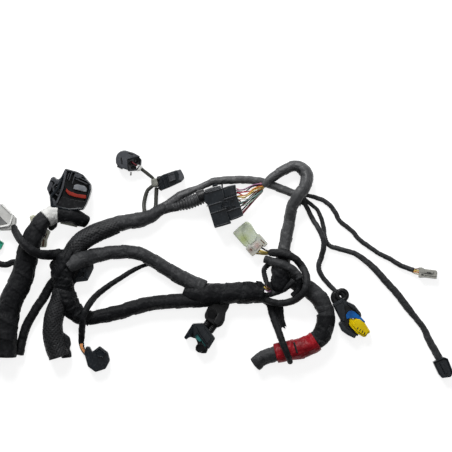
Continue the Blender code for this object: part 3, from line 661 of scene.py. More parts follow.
trunk("left_trunk_tape", TRUNK_LEFT, "trunk_left", cloth_tape, "cloth_tape",
      lap_pitch=17, lap_height=0.7, lumps=0.06, sides=72)
trunk("main_sleeve", TRUNK_MAIN, "trunk_main_braid", braid, "braided_sleeve",
      lap_height=0, lumps=0.02, sides=128, spacing=0.5, profile=braid_relief)
trunk("upper_sleeve", TRUNK_UPPER_BRAID, "trunk_upper_braid", braid, "braided_sleeve",
      lap_height=0, lumps=0.02, sides=128, spacing=0.5, profile=braid_relief)
trunk("upper_trunk_tape", TRUNK_UPPER_TAPE, "trunk_upper_tape", grey_cloth_tape, "cloth_tape",
      lap_pitch=10, lap_height=0.5, lumps=0.05, sides=48)
trunk("junction_tape", JUNCTION, "junction", cloth_tape, "cloth_tape",
      lap_pitch=8, lap_height=1.1, lumps=0.14, turn=2, sides=80)
trunk("upper_branch_tape", BRANCH_UPPER, "branch_upper", grey_cloth_tape, "cloth_tape",
      lap_pitch=16, lap_height=0.6, lumps=0.06, turn=-1, sides=52)
trunk("lower_branch_tape", BRANCH_LOWER, "branch_lower", cloth_tape, "cloth_tape",
      lap_pitch=15, lap_height=0.6, lumps=0.06, sides=52)
trunk("middle_trunk_tape", TRUNK_MIDDLE, "trunk_middle", cloth_tape, "cloth_tape",
      lap_pitch=19, lap_height=0.9, lumps=0.1, sides=64)
trunk("upper_bundle_tape", BUNDLE_UPPER, "bundle_upper", vinyl_tape, "cloth_tape",
      lap_pitch=12, lap_height=0.4, lumps=0.05, sides=40)
trunk("ribbed_tube", CORRUGATED_TUBE, "corrugated_tube", ribbed_black, "corrugated_plastic",
      lap_height=0, lumps=0.0, sides=40, spacing=0.35, profile=rib_relief)
trunk("loop_bundle_tape", BUNDLE_LOOP, "bundle_loop", vinyl_tape, "vinyl_tape",
      lap_pitch=15, lap_height=0.6, lumps=0.045, sides=56)
trunk("loop_core_tape", LOOP_CORE, "bundle_loop", cloth_tape, "cloth_tape",
      lap_pitch=9, lap_height=0.9, lumps=0.12, turn=3, sides=64)
trunk("right_trunk_tape", TRUNK_RIGHT, "trunk_right", grey_cloth_tape, "cloth_tape",
      lap_pitch=16, lap_height=0.6, lumps=0.06, sides=60)

# %% [markdown]
# The thin branches leave the trunks and end at a plug, at the photograph's edge or in a bundle
# again. They lie on the floor where they can, at a height of 0, and rise where they cross something.

# %% Routes of the branches
BRANCH_WHITE_PLUG = [
    (14.4, 226.6, 6.5, 6), (17.4, 232.5, 8, 13), (24.6, 241.6, 8, 27.5), (33.4, 249.2, 9, 30.5),
    (42, 253.8, 9.4, 24), (52, 254.6, 10, 13), (62, 253.6, 10.6, 9),
]
BRANCH_CROSSING = [
    (154, 263, 4, 6), (144, 265.5, 4, 1), (132, 271, 5, 0), (119, 279, 5.5, 0), (107, 287, 6, 0),
    (97, 295, 6.5, 2), (90, 304, 6.5, 12), (85, 314, 6.5, 15.7), (83, 325, 6.5, 11), (82, 335, 6.4, 3),
    (81.8, 344, 5.4, 1), (84.6, 351.6, 4.4, 1), (91, 357, 4.4, 1),
]
BRANCH_LEFT_DOWN = [
    (60, 276, 9.5, 8), (52, 284, 9.5, 2), (43.6, 298, 9.5, 0), (34.4, 312, 9.5, 0), (26.8, 326, 9.5, 0),
    (22.4, 340, 9.5, 0), (19.6, 355, 9.5, 2),
]
BRANCH_TO_RED_TAPE = [
    (260, 298, 5.5, 1), (268.8, 304, 6.6, 0), (272.8, 315, 7.4, 1), (277.4, 328, 7.2, 9),
    (281, 338.5, 6.8, 17.5), (284.4, 347, 6.4, 21.3), (287.6, 355, 6, 20.6), (290, 362, 5.5, 14),
]
BRANCH_GREY_PLUG = [
    (302, 196.4, 4, 3), (308, 195.8, 4.2, 2), (316, 197.8, 4.4, 0), (323.6, 200.8, 4.6, 0),
    (330.2, 205.8, 4.8, 0), (335.2, 212.6, 4.8, 0), (339.4, 220.6, 4.8, 0), (346.4, 226.6, 4.8, 0),
    (352.4, 231.6, 4.8, 0), (359, 239.3, 4.9, 0), (368, 246, 5, 0), (379, 253.5, 5, 0),
    (390, 259, 5, 0), (401, 265.6, 5.2, 0.5), (414, 270.4, 5, 1.6),
]
BRANCH_EDGE_PLUG = [
    (301, 196.5, 4, 1), (306, 200.5, 4, 0), (311, 204.5, 4, 0), (317, 210, 4, 0), (321, 218, 4.3, 0),
    (323.5, 228, 4.6, 0), (325, 238, 5, 0), (329.6, 245.6, 5.2, 0), (341.8, 249.6, 5.4, 0),
    (354.6, 253.6, 5.6, 0), (366.4, 261.6, 6.4, 0), (376.2, 270.6, 7, 0), (386.2, 282, 7.2, 0),
    (396.2, 293, 7.2, 0), (407.2, 307.5, 7, 0), (417.2, 320, 6.2, 0), (423.8, 329, 6.4, 0),
    (428.4, 339.4, 7.4, 0), (436, 353, 8, 0), (440, 360, 8, 0.5),
]
BRANCH_RING = [
    (302, 198, 4.4, 2.5), (304.5, 203, 4.6, 1.5), (308, 210, 4.8, 0), (312.5, 219, 5, 0.6),
    (318, 228, 5.2, 4.2), (322.3, 237, 5.4, 5.8), (323.4, 246, 5.4, 4.8), (321.5, 256, 5.4, 1),
    (318.6, 266, 5.4, 0), (321, 274.5, 5.2, 0), (326.5, 282, 5, 0.5), (333, 288.8, 4.8, 1.5),
    (336.4, 292.6, 4.6, 2.4),
]
BRANCH_OVAL_PLUG = [
    (145, 213, 4, 8), (144.2, 206, 4.2, 4), (145, 199, 4.2, 2), (147.6, 191, 4.2, 1.5),
    (152.4, 186, 3.8, 2.4), (154.8, 182.5, 3.6, 2.6), (153, 178.5, 3.6, 3), (147, 173.3, 3.6, 4),
    (139, 167, 3.6, 5),
]
BRANCH_SQUARE_PLUG = [
    (154.6, 213, 4.2, 7), (155.8, 206, 4.2, 3), (156.2, 197, 4.2, 1.5), (156.8, 187.4, 4.2, 2),
]
BRANCH_GREEN_PLUG = [
    (24, 264, 6.5, 9), (15, 262, 6.5, 4), (6, 264.5, 6.5, 0), (-2, 262.5, 6.5, 0), (-7, 256, 5.5, 0),
    (-6.5, 249, 5, 0.5),
]
LOOP_NYLON_PLUG = [
    (269.4, 252.8, 6.5, 5), (274, 252.7, 8, 8.4), (284, 253.5, 7.5, 13.5), (294, 258, 7.5, 12.5),
    (301, 265.5, 7.5, 9), (305.5, 275, 7.5, 13.5), (305.5, 285, 7.5, 18.3), (301, 294, 7.5, 17),
    (292, 300.5, 7.5, 9), (280, 303, 7.5, 5), (268, 300.5, 7.5, 6.5), (258, 296, 7.5, 7),
]
LOOP_THIN = [
    (276, 263.6, 5, 6), (268.6, 264.8, 5.4, 3), (264.2, 270, 5.6, 2), (265, 277.5, 5.4, 3),
    (266.4, 284, 4.8, 6), (263.4, 289, 4.6, 10),
]
LOOP_INNER = [
    (258, 293, 5, 8), (267, 294.6, 5.4, 7), (275, 292.4, 5.8, 8), (284, 288.6, 5.8, 11),
    (290, 283.6, 5.6, 15), (293, 279.6, 5.4, 15.8),
]
TAPE_TAIL = [
    (263.5, 258.5, 7.5, 9), (271, 261, 8, 9.5), (280, 263.5, 8.5, 14), (290, 268, 8.5, 15),
    (297, 274.5, 8, 15.2), (299, 279.5, 7, 16.8),
]
TAPE_TAIL_TURN = [
    (294.6, 271, 6, 15), (297.6, 276.6, 7, 15.4), (299, 283, 7.4, 13), (297.6, 290, 7.6, 11),
    (292.6, 296.6, 7.4, 9),
]
branch_routes = (BRANCH_WHITE_PLUG, BRANCH_CROSSING, BRANCH_LEFT_DOWN, BRANCH_TO_RED_TAPE,
                 BRANCH_GREY_PLUG, BRANCH_EDGE_PLUG, BRANCH_RING, BRANCH_OVAL_PLUG,
                 BRANCH_SQUARE_PLUG, BRANCH_GREEN_PLUG, LOOP_NYLON_PLUG, LOOP_THIN, LOOP_INNER,
                 TAPE_TAIL, TAPE_TAIL_TURN)
print(f"branch routes: {len(branch_routes)}, {sum(map(len, branch_routes))} points")

# %% [markdown]
# The free branches are cords. Each one's length is measured along its own route, from the point where it
# leaves a trunk to its far end. Those that meet the photograph's edge end just past it, with their plug
# or cut end. They are rolled as the trunks are, with lower laps, since their tape is narrower.


def branch(name, route, node, far_end, plug=None, **relief):
    """Roll a branch and let it stand for its solid. Its plug's pieces share that first name, though the
    plug argument is not used.
    """
    relief = {"lap_pitch": 7, "lap_height": 0.25, "lumps": 0.05, "sides": 28, **relief}
    finish = relief.pop("finish", cloth_tape)
    piece = roll(name, route, finish, **relief)
    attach(piece, "root")
    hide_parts(node)
    samples, length = smooth_route(route, 2.0)


branch("white_socket_branch", BRANCH_WHITE_PLUG, "cord_white_plug", "plug", "white_socket",
       lap_pitch=8, sides=36)
branch("crossing_branch", BRANCH_CROSSING, "cord_crossing", "plug", "crossing_plug")
branch("lower_left_branch", BRANCH_LEFT_DOWN, "cord_left_down", "bare", sides=36)
branch("red_tape_branch", BRANCH_TO_RED_TAPE, "cord_to_red_tape", "bare")
branch("grey_plug_branch", BRANCH_GREY_PLUG, "cord_grey_plug", "plug", "grey_plug",
       finish=grey_cloth_tape, lap_pitch=9, lap_height=0.3)
branch("edge_plug_branch", BRANCH_EDGE_PLUG, "cord_edge_plug", "plug", "edge_plug",
       finish=grey_cloth_tape, lap_pitch=9, lap_height=0.3)
branch("ring_plug_branch", BRANCH_RING, "cord_ring_plug", "plug", "ring_plug",
       finish=grey_cloth_tape, lap_pitch=9, lap_height=0.3)
branch("oval_plug_branch", BRANCH_OVAL_PLUG, "cord_oval_plug", "plug", "oval_plug",
       finish=strand_sheath, lap_height=0.08)
branch("green_plug_branch", BRANCH_GREEN_PLUG, "cord_green_plug", "plug", "green_plug")
branch("nylon_plug_loop", LOOP_NYLON_PLUG, "loop_nylon_plug", "object", "nylon_plug",
       finish=worn_cloth_tape, sides=32)
branch("thin_loop", LOOP_THIN, "loop_thin", "object", finish=worn_cloth_tape)
branch("inner_loop", LOOP_INNER, "loop_inner", "object", finish=worn_cloth_tape)
trunk("tape_tail_band", TAPE_TAIL, "tape_tail", grey_cloth_tape, "cloth_tape", lap_pitch=9, sides=28)
trunk("tape_tail_turn", TAPE_TAIL_TURN, "tape_tail", cloth_tape, "cloth_tape", lap_pitch=9, sides=28)
trunk("square_plug_branch", BRANCH_SQUARE_PLUG, "cord_square_plug", strand_sheath, "cloth_tape",
      lap_pitch=7, lap_height=0.08, sides=28)

# %% [markdown]
# Marker tapes are wound over the trunks: a white one with a loose tail, a red one near the right
# end and a tan one round the two strands. A band follows a short stretch of the route below it and
# is a little thicker. Loose ends of tape are thin slabs later on, next to the moulded parts.

# %% Marker bands
def stretch_of(route, centre, length, grow):
    """Cut a stretch out of a route round a board point, grown by a wall on all sides."""
    samples, _ = smooth_route(route, 1.0)
    nearest = min(range(len(samples)), key=lambda index: math.hypot(samples[index].x - centre[0],
                                                                    samples[index].y - centre[1]))
    reach = max(2, round(length / 2))
    part = samples[max(0, nearest - reach):nearest + reach + 1]
    step = max(1, len(part) // 6)
    part = part[::step] + [part[-1]]
    return [(sample.x, sample.y, sample.w + 2 * grow, max(0.0, sample.z - sample.w / 2 - grow))
            for sample in part]


trunk("white_band", stretch_of(TRUNK_LEFT, (52, 215.6), 15, 1.2), "white_tape_band", white_band_tape,
      "white_tape", lap_pitch=40, lap_height=0.5, lumps=0.05, sides=64)
trunk("red_band", stretch_of(TRUNK_RIGHT, (297, 349.6), 43, 1.6), "red_tape_band", red_band_tape,
      "red_tape", lap_pitch=13, lap_height=0.7, lumps=0.05, sides=64)
trunk("right_trunk_wrap", stretch_of(TRUNK_RIGHT, (324.4, 329), 30, 0.7), "trunk_right", cloth_tape,
      "cloth_tape", lap_pitch=15, lap_height=0.7, lumps=0.06, sides=60)
trunk("tan_band", [(155.2, 178.4, 8, 0.3), (155.6, 183, 8.4, 0.2), (156, 187.4, 8, 0.3)],
      "tan_tape_band", tan_band_tape, "tan_tape", lap_pitch=20, lap_height=0.4, lumps=0.08, sides=40)
trunk("tube_start_tape", [(154, 212.4, 11, 1), (161, 210, 10.8, 0.8), (168, 208.2, 9.8, 1),
                          (174, 207, 9.6, 1.2), (179, 206.2, 9.4, 1.6)],
      "corrugated_tube", grey_cloth_tape, "cloth_tape", lap_pitch=11, lap_height=0.5, lumps=0.16,
      sides=44)
trunk("junction_strap", [(57, 279, 7, 15), (62.4, 269.4, 8, 18), (68, 259.4, 8, 18.5),
                         (72, 250, 7, 15)],
      "junction", cloth_tape, "cloth_tape", lap_pitch=6, lap_height=0.5, lumps=0.14, sides=32)
trunk("junction_left_tape", [(53, 264, 7.6, 4), (57, 267.6, 11, 8), (61.6, 274, 13, 10),
                             (64, 283, 12, 10)],
      "junction", cloth_tape, "cloth_tape", lap_pitch=6, lap_height=0.6, lumps=0.16, sides=40)

# %% [markdown]
# A moulded connector is mostly flat slabs with rounded edges, so one small set of helpers makes
# them all, in millimetres on the board. A slab starts as a filled circle whose points are moved to
# an outline, and is extruded upwards. A recess insets the top face and pushes it down, and a slope
# tips the top so that it faces the light differently. A bevel rounds the edges. Boxes cut by
# booleans could make the same, but an outline follows a slanted plug more easily.

# %% Slabs
def round_off(piece, width):
    """Round the sharp edges of a piece by a bevel of width, in millimetres."""
    if width:
        rounding = piece.modifiers.new("rounding", "BEVEL")
        rounding.width = width
        rounding.segments = 2
        rounding.limit_method = "ANGLE"
        rounding.angle_limit = math.radians(28)
        bpy.ops.object.modifier_apply(modifier=rounding.name)
    return piece


def select_top(piece):
    """Enter edit mode with only the highest faces that look up selected."""
    bpy.context.tool_settings.mesh_select_mode = (False, False, True)
    bpy.ops.object.mode_set(mode="EDIT")
    bpy.ops.mesh.select_all(action="DESELECT")
    bpy.ops.object.mode_set(mode="OBJECT")
    level = max(face.center.z for face in piece.data.polygons if face.normal.z > 0.7)
    for face in piece.data.polygons:
        face.select = face.normal.z > 0.7 and face.center.z > level - 0.05
    bpy.ops.object.mode_set(mode="EDIT")


def slab(outline, low, high, rounding=0.6, recess=None, slope=None):
    """Raise an outline of board points from low to high. recess is (border, depth) and slope is
    (millimetres per millimetre along x, the same along y)."""
    deselect()
    bpy.ops.mesh.primitive_circle_add(vertices=len(outline), radius=1, fill_type="NGON")
    piece = bpy.context.object
    for vertex, (x, y) in zip(piece.data.vertices, outline):
        vertex.co = (x, -y, low)
    bpy.ops.object.mode_set(mode="EDIT")
    bpy.ops.mesh.select_all(action="SELECT")
    bpy.ops.mesh.extrude_region_move(TRANSFORM_OT_translate={"value": (0, 0, high - low)})
    bpy.ops.mesh.select_all(action="SELECT")
    bpy.ops.mesh.normals_make_consistent(inside=False)
    bpy.ops.object.mode_set(mode="OBJECT")
    if recess:
        select_top(piece)
        bpy.ops.mesh.inset(thickness=recess[0], depth=0)
        bpy.ops.mesh.extrude_region_move(TRANSFORM_OT_translate={"value": (0, 0, -recess[1])})
        bpy.ops.object.mode_set(mode="OBJECT")
    if slope:
        middle_x = sum(x for x, _ in outline) / len(outline)
        middle_y = sum(y for _, y in outline) / len(outline)
        for vertex in piece.data.vertices:
            x, y, z = vertex.co
            if z > (low + high) / 2 - (recess[1] if recess else 0):
                vertex.co.z += slope[0] * (x - middle_x) + slope[1] * (-y - middle_y)
    return round_off(piece, rounding)


print("a slab starts from an outline and two heights:", slab.__name__)

# %% [markdown]
# Ribs, levers, contact holes and seals are bars, drums, rods and rings. A bar is a slab between two
# points, and a drum is a slab with a round outline, so both get their rounded edges from the slab.

# %% Bars, drums, rods and rings
def bar(start, end, width, low, high, rounding=0.3, **shape):
    """Make a slab of a width along the line between two board points."""
    along = Vector((end[0] - start[0], end[1] - start[1])).normalized() * width / 2
    side = Vector((-along.y, along.x))
    outline = [(start[0] + side.x, start[1] + side.y), (end[0] + side.x, end[1] + side.y),
               (end[0] - side.x, end[1] - side.y), (start[0] - side.x, start[1] - side.y)]
    return slab(outline, low, high, rounding, **shape)


def drum(centre, radius, low, high, rounding=0.4, sides=28, recess=None):
    """Make an upright cylinder at a board point."""
    outline = [(centre[0] + radius * math.cos(FULL_TURN * step / sides),
                centre[1] + radius * math.sin(FULL_TURN * step / sides)) for step in range(sides)]
    return slab(outline, low, high, rounding, recess=recess)


def rod(start, end, radius, rounding=0.4, sides=24):
    """Make a cylinder between two points, each x and y on the board and a height."""
    start, end = (Vector((x, -y, z)) for x, y, z in (start, end))
    axis = end - start
    deselect()
    bpy.ops.mesh.primitive_cylinder_add(vertices=sides, radius=radius, depth=axis.length)
    piece = bpy.context.object
    turn = axis.to_track_quat("Z", "Y").to_matrix().to_4x4()
    piece.data.transform(Matrix.Translation((start + end) / 2) @ turn)
    return round_off(piece, rounding)


def ring(centre, height, major, minor):
    """Make a flat ring about a board point."""
    deselect()
    bpy.ops.mesh.primitive_torus_add(major_radius=major, minor_radius=minor, major_segments=48,
                                     minor_segments=14)
    piece = bpy.context.object
    piece.data.transform(Matrix.Translation((centre[0], -centre[1], height)))
    return piece


print("four more forms:", bar.__name__, drum.__name__, rod.__name__, ring.__name__)

# %% [markdown]
# The parts of one finish are joined into one piece, moved to the model's origin and scaled from
# millimetres to metres. Its normals are weighted by the size of the faces, so that flat faces look
# flat and only the bevels catch the light as rounded edges.

# %% Join parts into a piece
TO_METRES = Matrix.Scale(MM, 4) @ Matrix.Translation((-BOARD_ORIGIN[0], BOARD_ORIGIN[1], 0))


def gather(name, parts, finish, slot, *nodes):
    """Join the parts of one finish into a piece of the object."""
    deselect()
    for part in parts:
        part.select_set(True)
    bpy.context.view_layer.objects.active = parts[0]
    if len(parts) > 1:
        bpy.ops.object.join()
    piece = bpy.context.object
    piece.name = piece.data.name = name
    piece.data.transform(TO_METRES)
    piece.data.materials.clear()
    piece.data.materials.append(finish)
    bpy.ops.object.shade_smooth_by_angle(angle=math.radians(35))
    normals = piece.modifiers.new("flat faces stay flat", "WEIGHTED_NORMAL")
    normals.keep_sharp = True
    bpy.ops.object.modifier_apply(modifier=normals.name)
    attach(piece, "root")
    if nodes:
        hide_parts(*nodes)
    print(f"{name}: {len(piece.data.polygons)} faces")


print("parts are made in millimetres, pieces are joined in metres:", TO_METRES.to_scale()[0])

# %% [markdown]
# The wide socket at the top left faces up with its mouth. Its lever side on the left is rounded,
# and its housing carries a curved ridge. Inside the mouth lie a pale slider, a red-orange seal and
# a deep black block with the contact holes.

# %% Wide socket
gather("wide_socket_shell", [
    slab([(66.5, 168.8), (78, 172), (84, 175), (92, 184.5), (92.3, 190), (90, 198), (87, 205),
          (84, 210), (70, 211), (52, 207), (51, 196), (58, 188), (62, 178)], 0.2, 20.5, 1.2,
         recess=(2.6, 9), slope=(-0.04, 0.03)),
    slab([(47.5, 188.5), (52, 178), (55, 176.5), (57, 179), (60, 179.5), (63, 176), (66, 186),
          (62, 200), (52, 203), (50.5, 196)], 2, 15, 1.2, slope=(0.12, -0.05)),
], charcoal, "charcoal_plastic", "wide_socket_housing", "wide_socket_latch")
gather("wide_socket_ridge", [
    slab([(66.2, 171), (68.4, 171.5), (66.6, 181), (64.8, 189), (61.2, 198), (58.8, 203.5),
          (57, 203), (59.6, 197), (62.6, 188.3), (64.4, 180.5)], 14, 22.2, 0.5),
    bar((54.2, 187), (57.4, 183.4), 1.4, 15, 19.6), bar((54.2, 187), (55.2, 193), 1.4, 15, 19.6),
    bar((55.2, 193.4), (59.5, 195.8), 1.4, 15, 19.6),
    drum((58.4, 189.6), 3.4, 14, 18.2, 0.5, recess=(0.9, 1.6)),
    slab([(48.2, 188), (51, 181.6), (54.4, 183.4), (52.2, 190.4), (50, 193.5)], 13, 17.6, 0.7),
    slab([(51.6, 180.6), (53.4, 178.2), (55.4, 177.4), (57.2, 179.8), (61, 180.2), (63, 178),
          (62.4, 184), (58, 185), (55.2, 182.4)], 13, 17.4, 0.7, slope=(0.04, 0.0)),
    slab([(51.8, 197.2), (55, 198.4), (58.4, 203.8), (58.6, 207.6), (53.4, 206.8)], 12, 20.6, 0.7,
         slope=(0.0, -0.1)),
    bar((67.9, 172.6), (66.6, 177.4), 0.9, 12, 21.4), bar((70.6, 173.4), (68.6, 179.8), 0.8, 12, 20.6),
    bar((73.2, 172.8), (70.2, 181), 1.0, 12, 20.9), bar((76.4, 174.6), (73.4, 184), 0.9, 12, 20.9),
    slab([(76.4, 173.6), (82.6, 175.2), (84.4, 177.2), (79.2, 179), (76, 177)], 12, 20.7, 0.5),
    bar((76.6, 179), (88.6, 184.6), 0.9, 12, 20.4), bar((78.8, 176.8), (89.6, 182.6), 0.7, 12, 20.8),
    bar((91, 185), (91, 190), 1.0, 12, 20.4), bar((86.6, 179.4), (90.6, 184.2), 1.1, 12, 20.6),
], grey_charcoal, "charcoal_plastic")
gather("wide_socket_slider", [
    slab([(75.3, 185.5), (78.5, 184.6), (86, 186.4), (88.2, 189.6), (87.4, 192.4), (74.4, 189.4)],
         12, 19.8, 0.7, slope=(0.0, -0.12)),
], slider_grey, "grey_plastic", "wide_socket_terminals")
gather("wide_socket_gasket", [
    slab([(67.3, 188.6), (70.5, 191.4), (78, 194.2), (87.3, 195.4), (87.1, 199), (77.4, 197.6),
          (70, 195.2), (66.8, 191.6)], 11, 19.2, 0.6),
], red_rubber, "red_silicone", "wide_socket_seal")
gather("wide_socket_block", [
    slab([(63.5, 196.5), (70, 198.6), (78, 200.6), (87.4, 201.6), (84.6, 209.2), (70, 210.4),
          (56, 206.8), (60, 201)], 10.5, 20.6, 0.6, slope=(0.0, -0.04)),
    bar((63.6, 199.4), (62.2, 204), 2.2, 14, 19.8), bar((66.4, 200.6), (65.4, 203), 2.2, 14, 19.4),
], black_plastic, "black_plastic")

# %% [markdown]
# The left one of the two plugs on the tan-banded strands stands with its wire side half towards us,
# so its rear is cut at a slant and the opening with the contact chambers is in that slant.

# %% Oval plug
gather("oval_plug_shell", [
    slab([(116.2, 158.5), (117.4, 154.6), (120.5, 151.6), (125, 150.4), (134.5, 153.2), (141, 157),
          (128, 160.2), (128.6, 170.6), (118.4, 167), (116.3, 163)], 0.6, 13.6, 1.3,
         slope=(0.06, 0.05)),
    slab([(127.4, 159.8), (131, 157.8), (138.2, 156.2), (141.8, 159.6), (141.4, 165.4),
          (137, 170.8), (128.6, 171.6), (126.8, 166)], 0.4, 11.4, 0.6, recess=(1.2, 5),
         slope=(-0.22, -0.05)),
    bar((117.8, 166), (123, 168.6), 2.4, 2, 12),
], grey_charcoal, "charcoal_plastic", "oval_plug_housing")
gather("oval_plug_windows", [
    bar((121.6, 157.8), (122.8, 164.6), 1.5, 10, 13.9, 0.2),
    bar((117.4, 163.4), (119, 166.4), 1.0, 10, 13.4, 0.2),
    bar((128.8, 153.2), (133.6, 155), 0.8, 10, 14.2, 0.2),
    bar((128.2, 160.4), (128.4, 170), 0.9, 8, 13.4, 0.2),
], black_plastic, "black_plastic")
gather("oval_plug_core", [
    drum((131.5, 163.5), 2.2, 4, 8.6, 0.5, recess=(0.6, 1.4)),
    drum((136.4, 161), 2.2, 4, 7.4, 0.5, recess=(0.6, 1.4)),
    drum((133.2, 167.8), 2.0, 4, 7.8, 0.5, recess=(0.6, 1.2)),
], black_rubber, "black_rubber", "oval_plug_insert")

# %% [markdown]
# The right one lies flat and shows its latch pad, a paler front cap and two round seals where the
# wires go in.

# %% Square plug
gather("square_plug_shell", [
    slab([(158.5, 177.2), (164, 174.4), (176, 170.4), (181, 169.8), (184.6, 177.6), (182, 181.8),
          (170, 187.4), (161.4, 190.8), (158.4, 184)], 0.4, 11.4, 1.2, slope=(0.02, 0.05)),
    bar((163, 177.5), (166, 187.6), 1.5, 9, 13.2), bar((166.6, 176.4), (169.4, 186.4), 1.5, 9, 13),
], charcoal, "charcoal_plastic", "square_plug_housing")
gather("square_plug_cap", [
    slab([(176.4, 170.8), (180.8, 169.2), (183.6, 174.6), (184.8, 178.4), (182.2, 181.4),
          (178.6, 180.8), (179, 175.4)], 2, 12.8, 1.2, slope=(-0.1, 0.06)),
    slab([(167.8, 175.2), (174.2, 173.2), (176.2, 179.8), (169.8, 182.2)], 9, 14.4, 0.7,
         recess=(0.7, 0.5), slope=(0.02, -0.06)),
], grey_charcoal, "charcoal_plastic", "square_plug_latch")
gather("square_plug_seals", [
    rod((161.5, 178.6, 8.2), (157.8, 179.8, 8.8), 3.0), rod((163, 186.6, 6), (159.6, 188.4, 6.4), 3.2),
    rod((158.4, 179.6, 8.7), (157.2, 180, 8.9), 1.7, 0.3),
    rod((160.4, 188, 6.3), (159, 188.8, 6.5), 1.8, 0.3),
], black_rubber, "black_rubber")

# %% [markdown]
# The big plug and its header are pushed together, so they share a seam that bows like the plug's nose.
# Long ribs run over both halves, and the lock with its round hole bridges the seam. The ribs and the seam
# lines take a lighter grey than the shells, as painted highlight where their edges catch the light.

# %% Mated pair
gather("mated_plug_shell", [
    slab([(203.7, 192), (212, 189.6), (221.2, 187.2), (222.6, 193), (224, 200), (226, 208),
          (229, 217.6), (231.4, 223.4), (223, 226), (214.8, 228.2), (211, 216), (207.6, 205),
          (204.4, 202)], 0.2, 21.5, 0.9, slope=(0.0, 0.02)),
    slab([(204.4, 190.2), (212, 187.6), (220.6, 185.8), (221, 188.4), (212, 190.6), (205.4, 192.4)],
         1, 17.5, 0.6, slope=(0.0, 0.3)),
    bar((212.4, 186), (217.6, 184.8), 2.2, 4, 13),
], charcoal, "charcoal_plastic", "mated_plug_half")
gather("mated_header_shell", [
    slab([(221.2, 188.6), (229, 186), (235.5, 184.8), (236.8, 195.8), (240.4, 206), (243.4, 215.6),
          (237, 218.6), (230.4, 221), (227.2, 213.4), (224.6, 205), (222, 196)],
         0.2, 19.6, 0.9, slope=(0.0, 0.02)),
    slab([(223.4, 189.4), (234.2, 186.4), (235.3, 195), (224.8, 197.8)], 15, 20.8, 0.7,
         slope=(0.0, 0.06)),
    bar((230.6, 200.4), (231.8, 206.6), 1.0, 16, 21.4),
    bar((230.2, 200.6), (233.6, 199.8), 0.9, 16, 21.4),
    bar((231.8, 206.6), (235, 205.6), 0.9, 16, 21.4),
], charcoal, "charcoal_plastic", "mated_header_half")
# Painted highlight: the ribs and seam lines are lighter grey than the shells, where their edges catch the
# light.
gather("mated_pair_ribs_painted_highlight", [
    bar((206.6, 206.4), (221.8, 201.6), 0.9, 18, 22.5),
    bar((210.4, 213.9), (226.6, 208.6), 0.9, 18, 22.8),
    bar((214.8, 226.8), (230.6, 222), 0.8, 18, 22.6), bar((205, 193.4), (221.4, 188.9), 0.9, 18, 22.3),
    bar((223.2, 200), (236, 195.6), 0.9, 16, 20.9), bar((226.8, 211.6), (240.4, 207), 0.8, 16, 21.1),
    bar((231.6, 219.6), (242.4, 215), 0.8, 16, 20.8), bar((222.6, 188.8), (235, 185.6), 0.9, 16, 20.9),
    bar((222.2, 189.4), (223.8, 198.4), 0.6, 16, 21.6),
    bar((226.6, 213.2), (229.6, 220.6), 0.6, 16, 21.6),
], grey_charcoal, "charcoal_plastic")
gather("mated_pair_catch", [
    slab([(220.4, 202.9), (228, 201), (229.4, 206.8), (222, 208.8)], 17, 23.2, 0.6,
         recess=(0.9, 0.5)),
    drum((222.9, 205.2), 1.5, 20, 24.0, 0.3, recess=(0.45, 1.6)),
], charcoal, "charcoal_plastic", "mated_pair_lock")
gather("tube_neck", [
    rod((198.4, 197.6, 12.3), (205.6, 194.8, 12.6), 6.6, 0.8, 36),
    rod((199.8, 197.1, 12.35), (201.4, 196.5, 12.4), 7.0, 0.4, 36),
], black_plastic, "black_plastic", "tube_collar")

# %% [markdown]
# The insulation of a single wire is smooth and glossier than tape. One finish is made for each
# colour, and a wire is a thin bundle of its own, without laps, so the same helper rolls it.

# %% Wire colours
def insulation(name, colour):
    """Make the finish of a wire's insulation."""
    lighter = tuple(channel * 1.15 for channel in colour)
    darker = tuple(channel * 0.7 for channel in colour)
    return dusty(name, colour, lighter, darker, 0.42, 900, 0.02)


WIRE_COLOURS = {
    "pink": (0.36, 0.15, 0.18), "mauve": (0.2, 0.09, 0.17), "maroon": (0.13, 0.018, 0.026),
    "orange": (0.5, 0.22, 0.05), "yellow": (0.45, 0.34, 0.08), "white": (0.55, 0.54, 0.5),
    "red": (0.42, 0.03, 0.03), "teal": (0.16, 0.26, 0.24), "pale_green": (0.3, 0.38, 0.31),
    "grey": (0.1, 0.1, 0.11), "black": (0.012, 0.012, 0.014), "crimson": (0.33, 0.02, 0.05),
    "brown": (0.09, 0.04, 0.02), "copper": (0.6, 0.26, 0.1), "cream": (0.5, 0.44, 0.3),
}
insulations = {name: insulation(f"{name}_wire", colour) for name, colour in WIRE_COLOURS.items()}


def lay_wires(first_name, diameter, table):
    """Lay the wires of a table, each with its colour and then the points that it goes through:
    x, y and the height of its underside."""
    for number, (colour, *points) in enumerate(table):
        piece = roll(f"{first_name}_{number}", [(x, y, diameter, z) for x, y, z in points],
                     insulations[colour], lap_height=0, lumps=0.0, sides=10, spacing=0.6)
        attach(piece, "root")
    print(first_name, "wires laid:", len(table))


print("wire colours:", len(insulations))

# %% [markdown]
# Wires of many colours leave the header on its right and gather into the bundle above. They cross
# each other, and their heights say which one is on top.

# %% Header wires


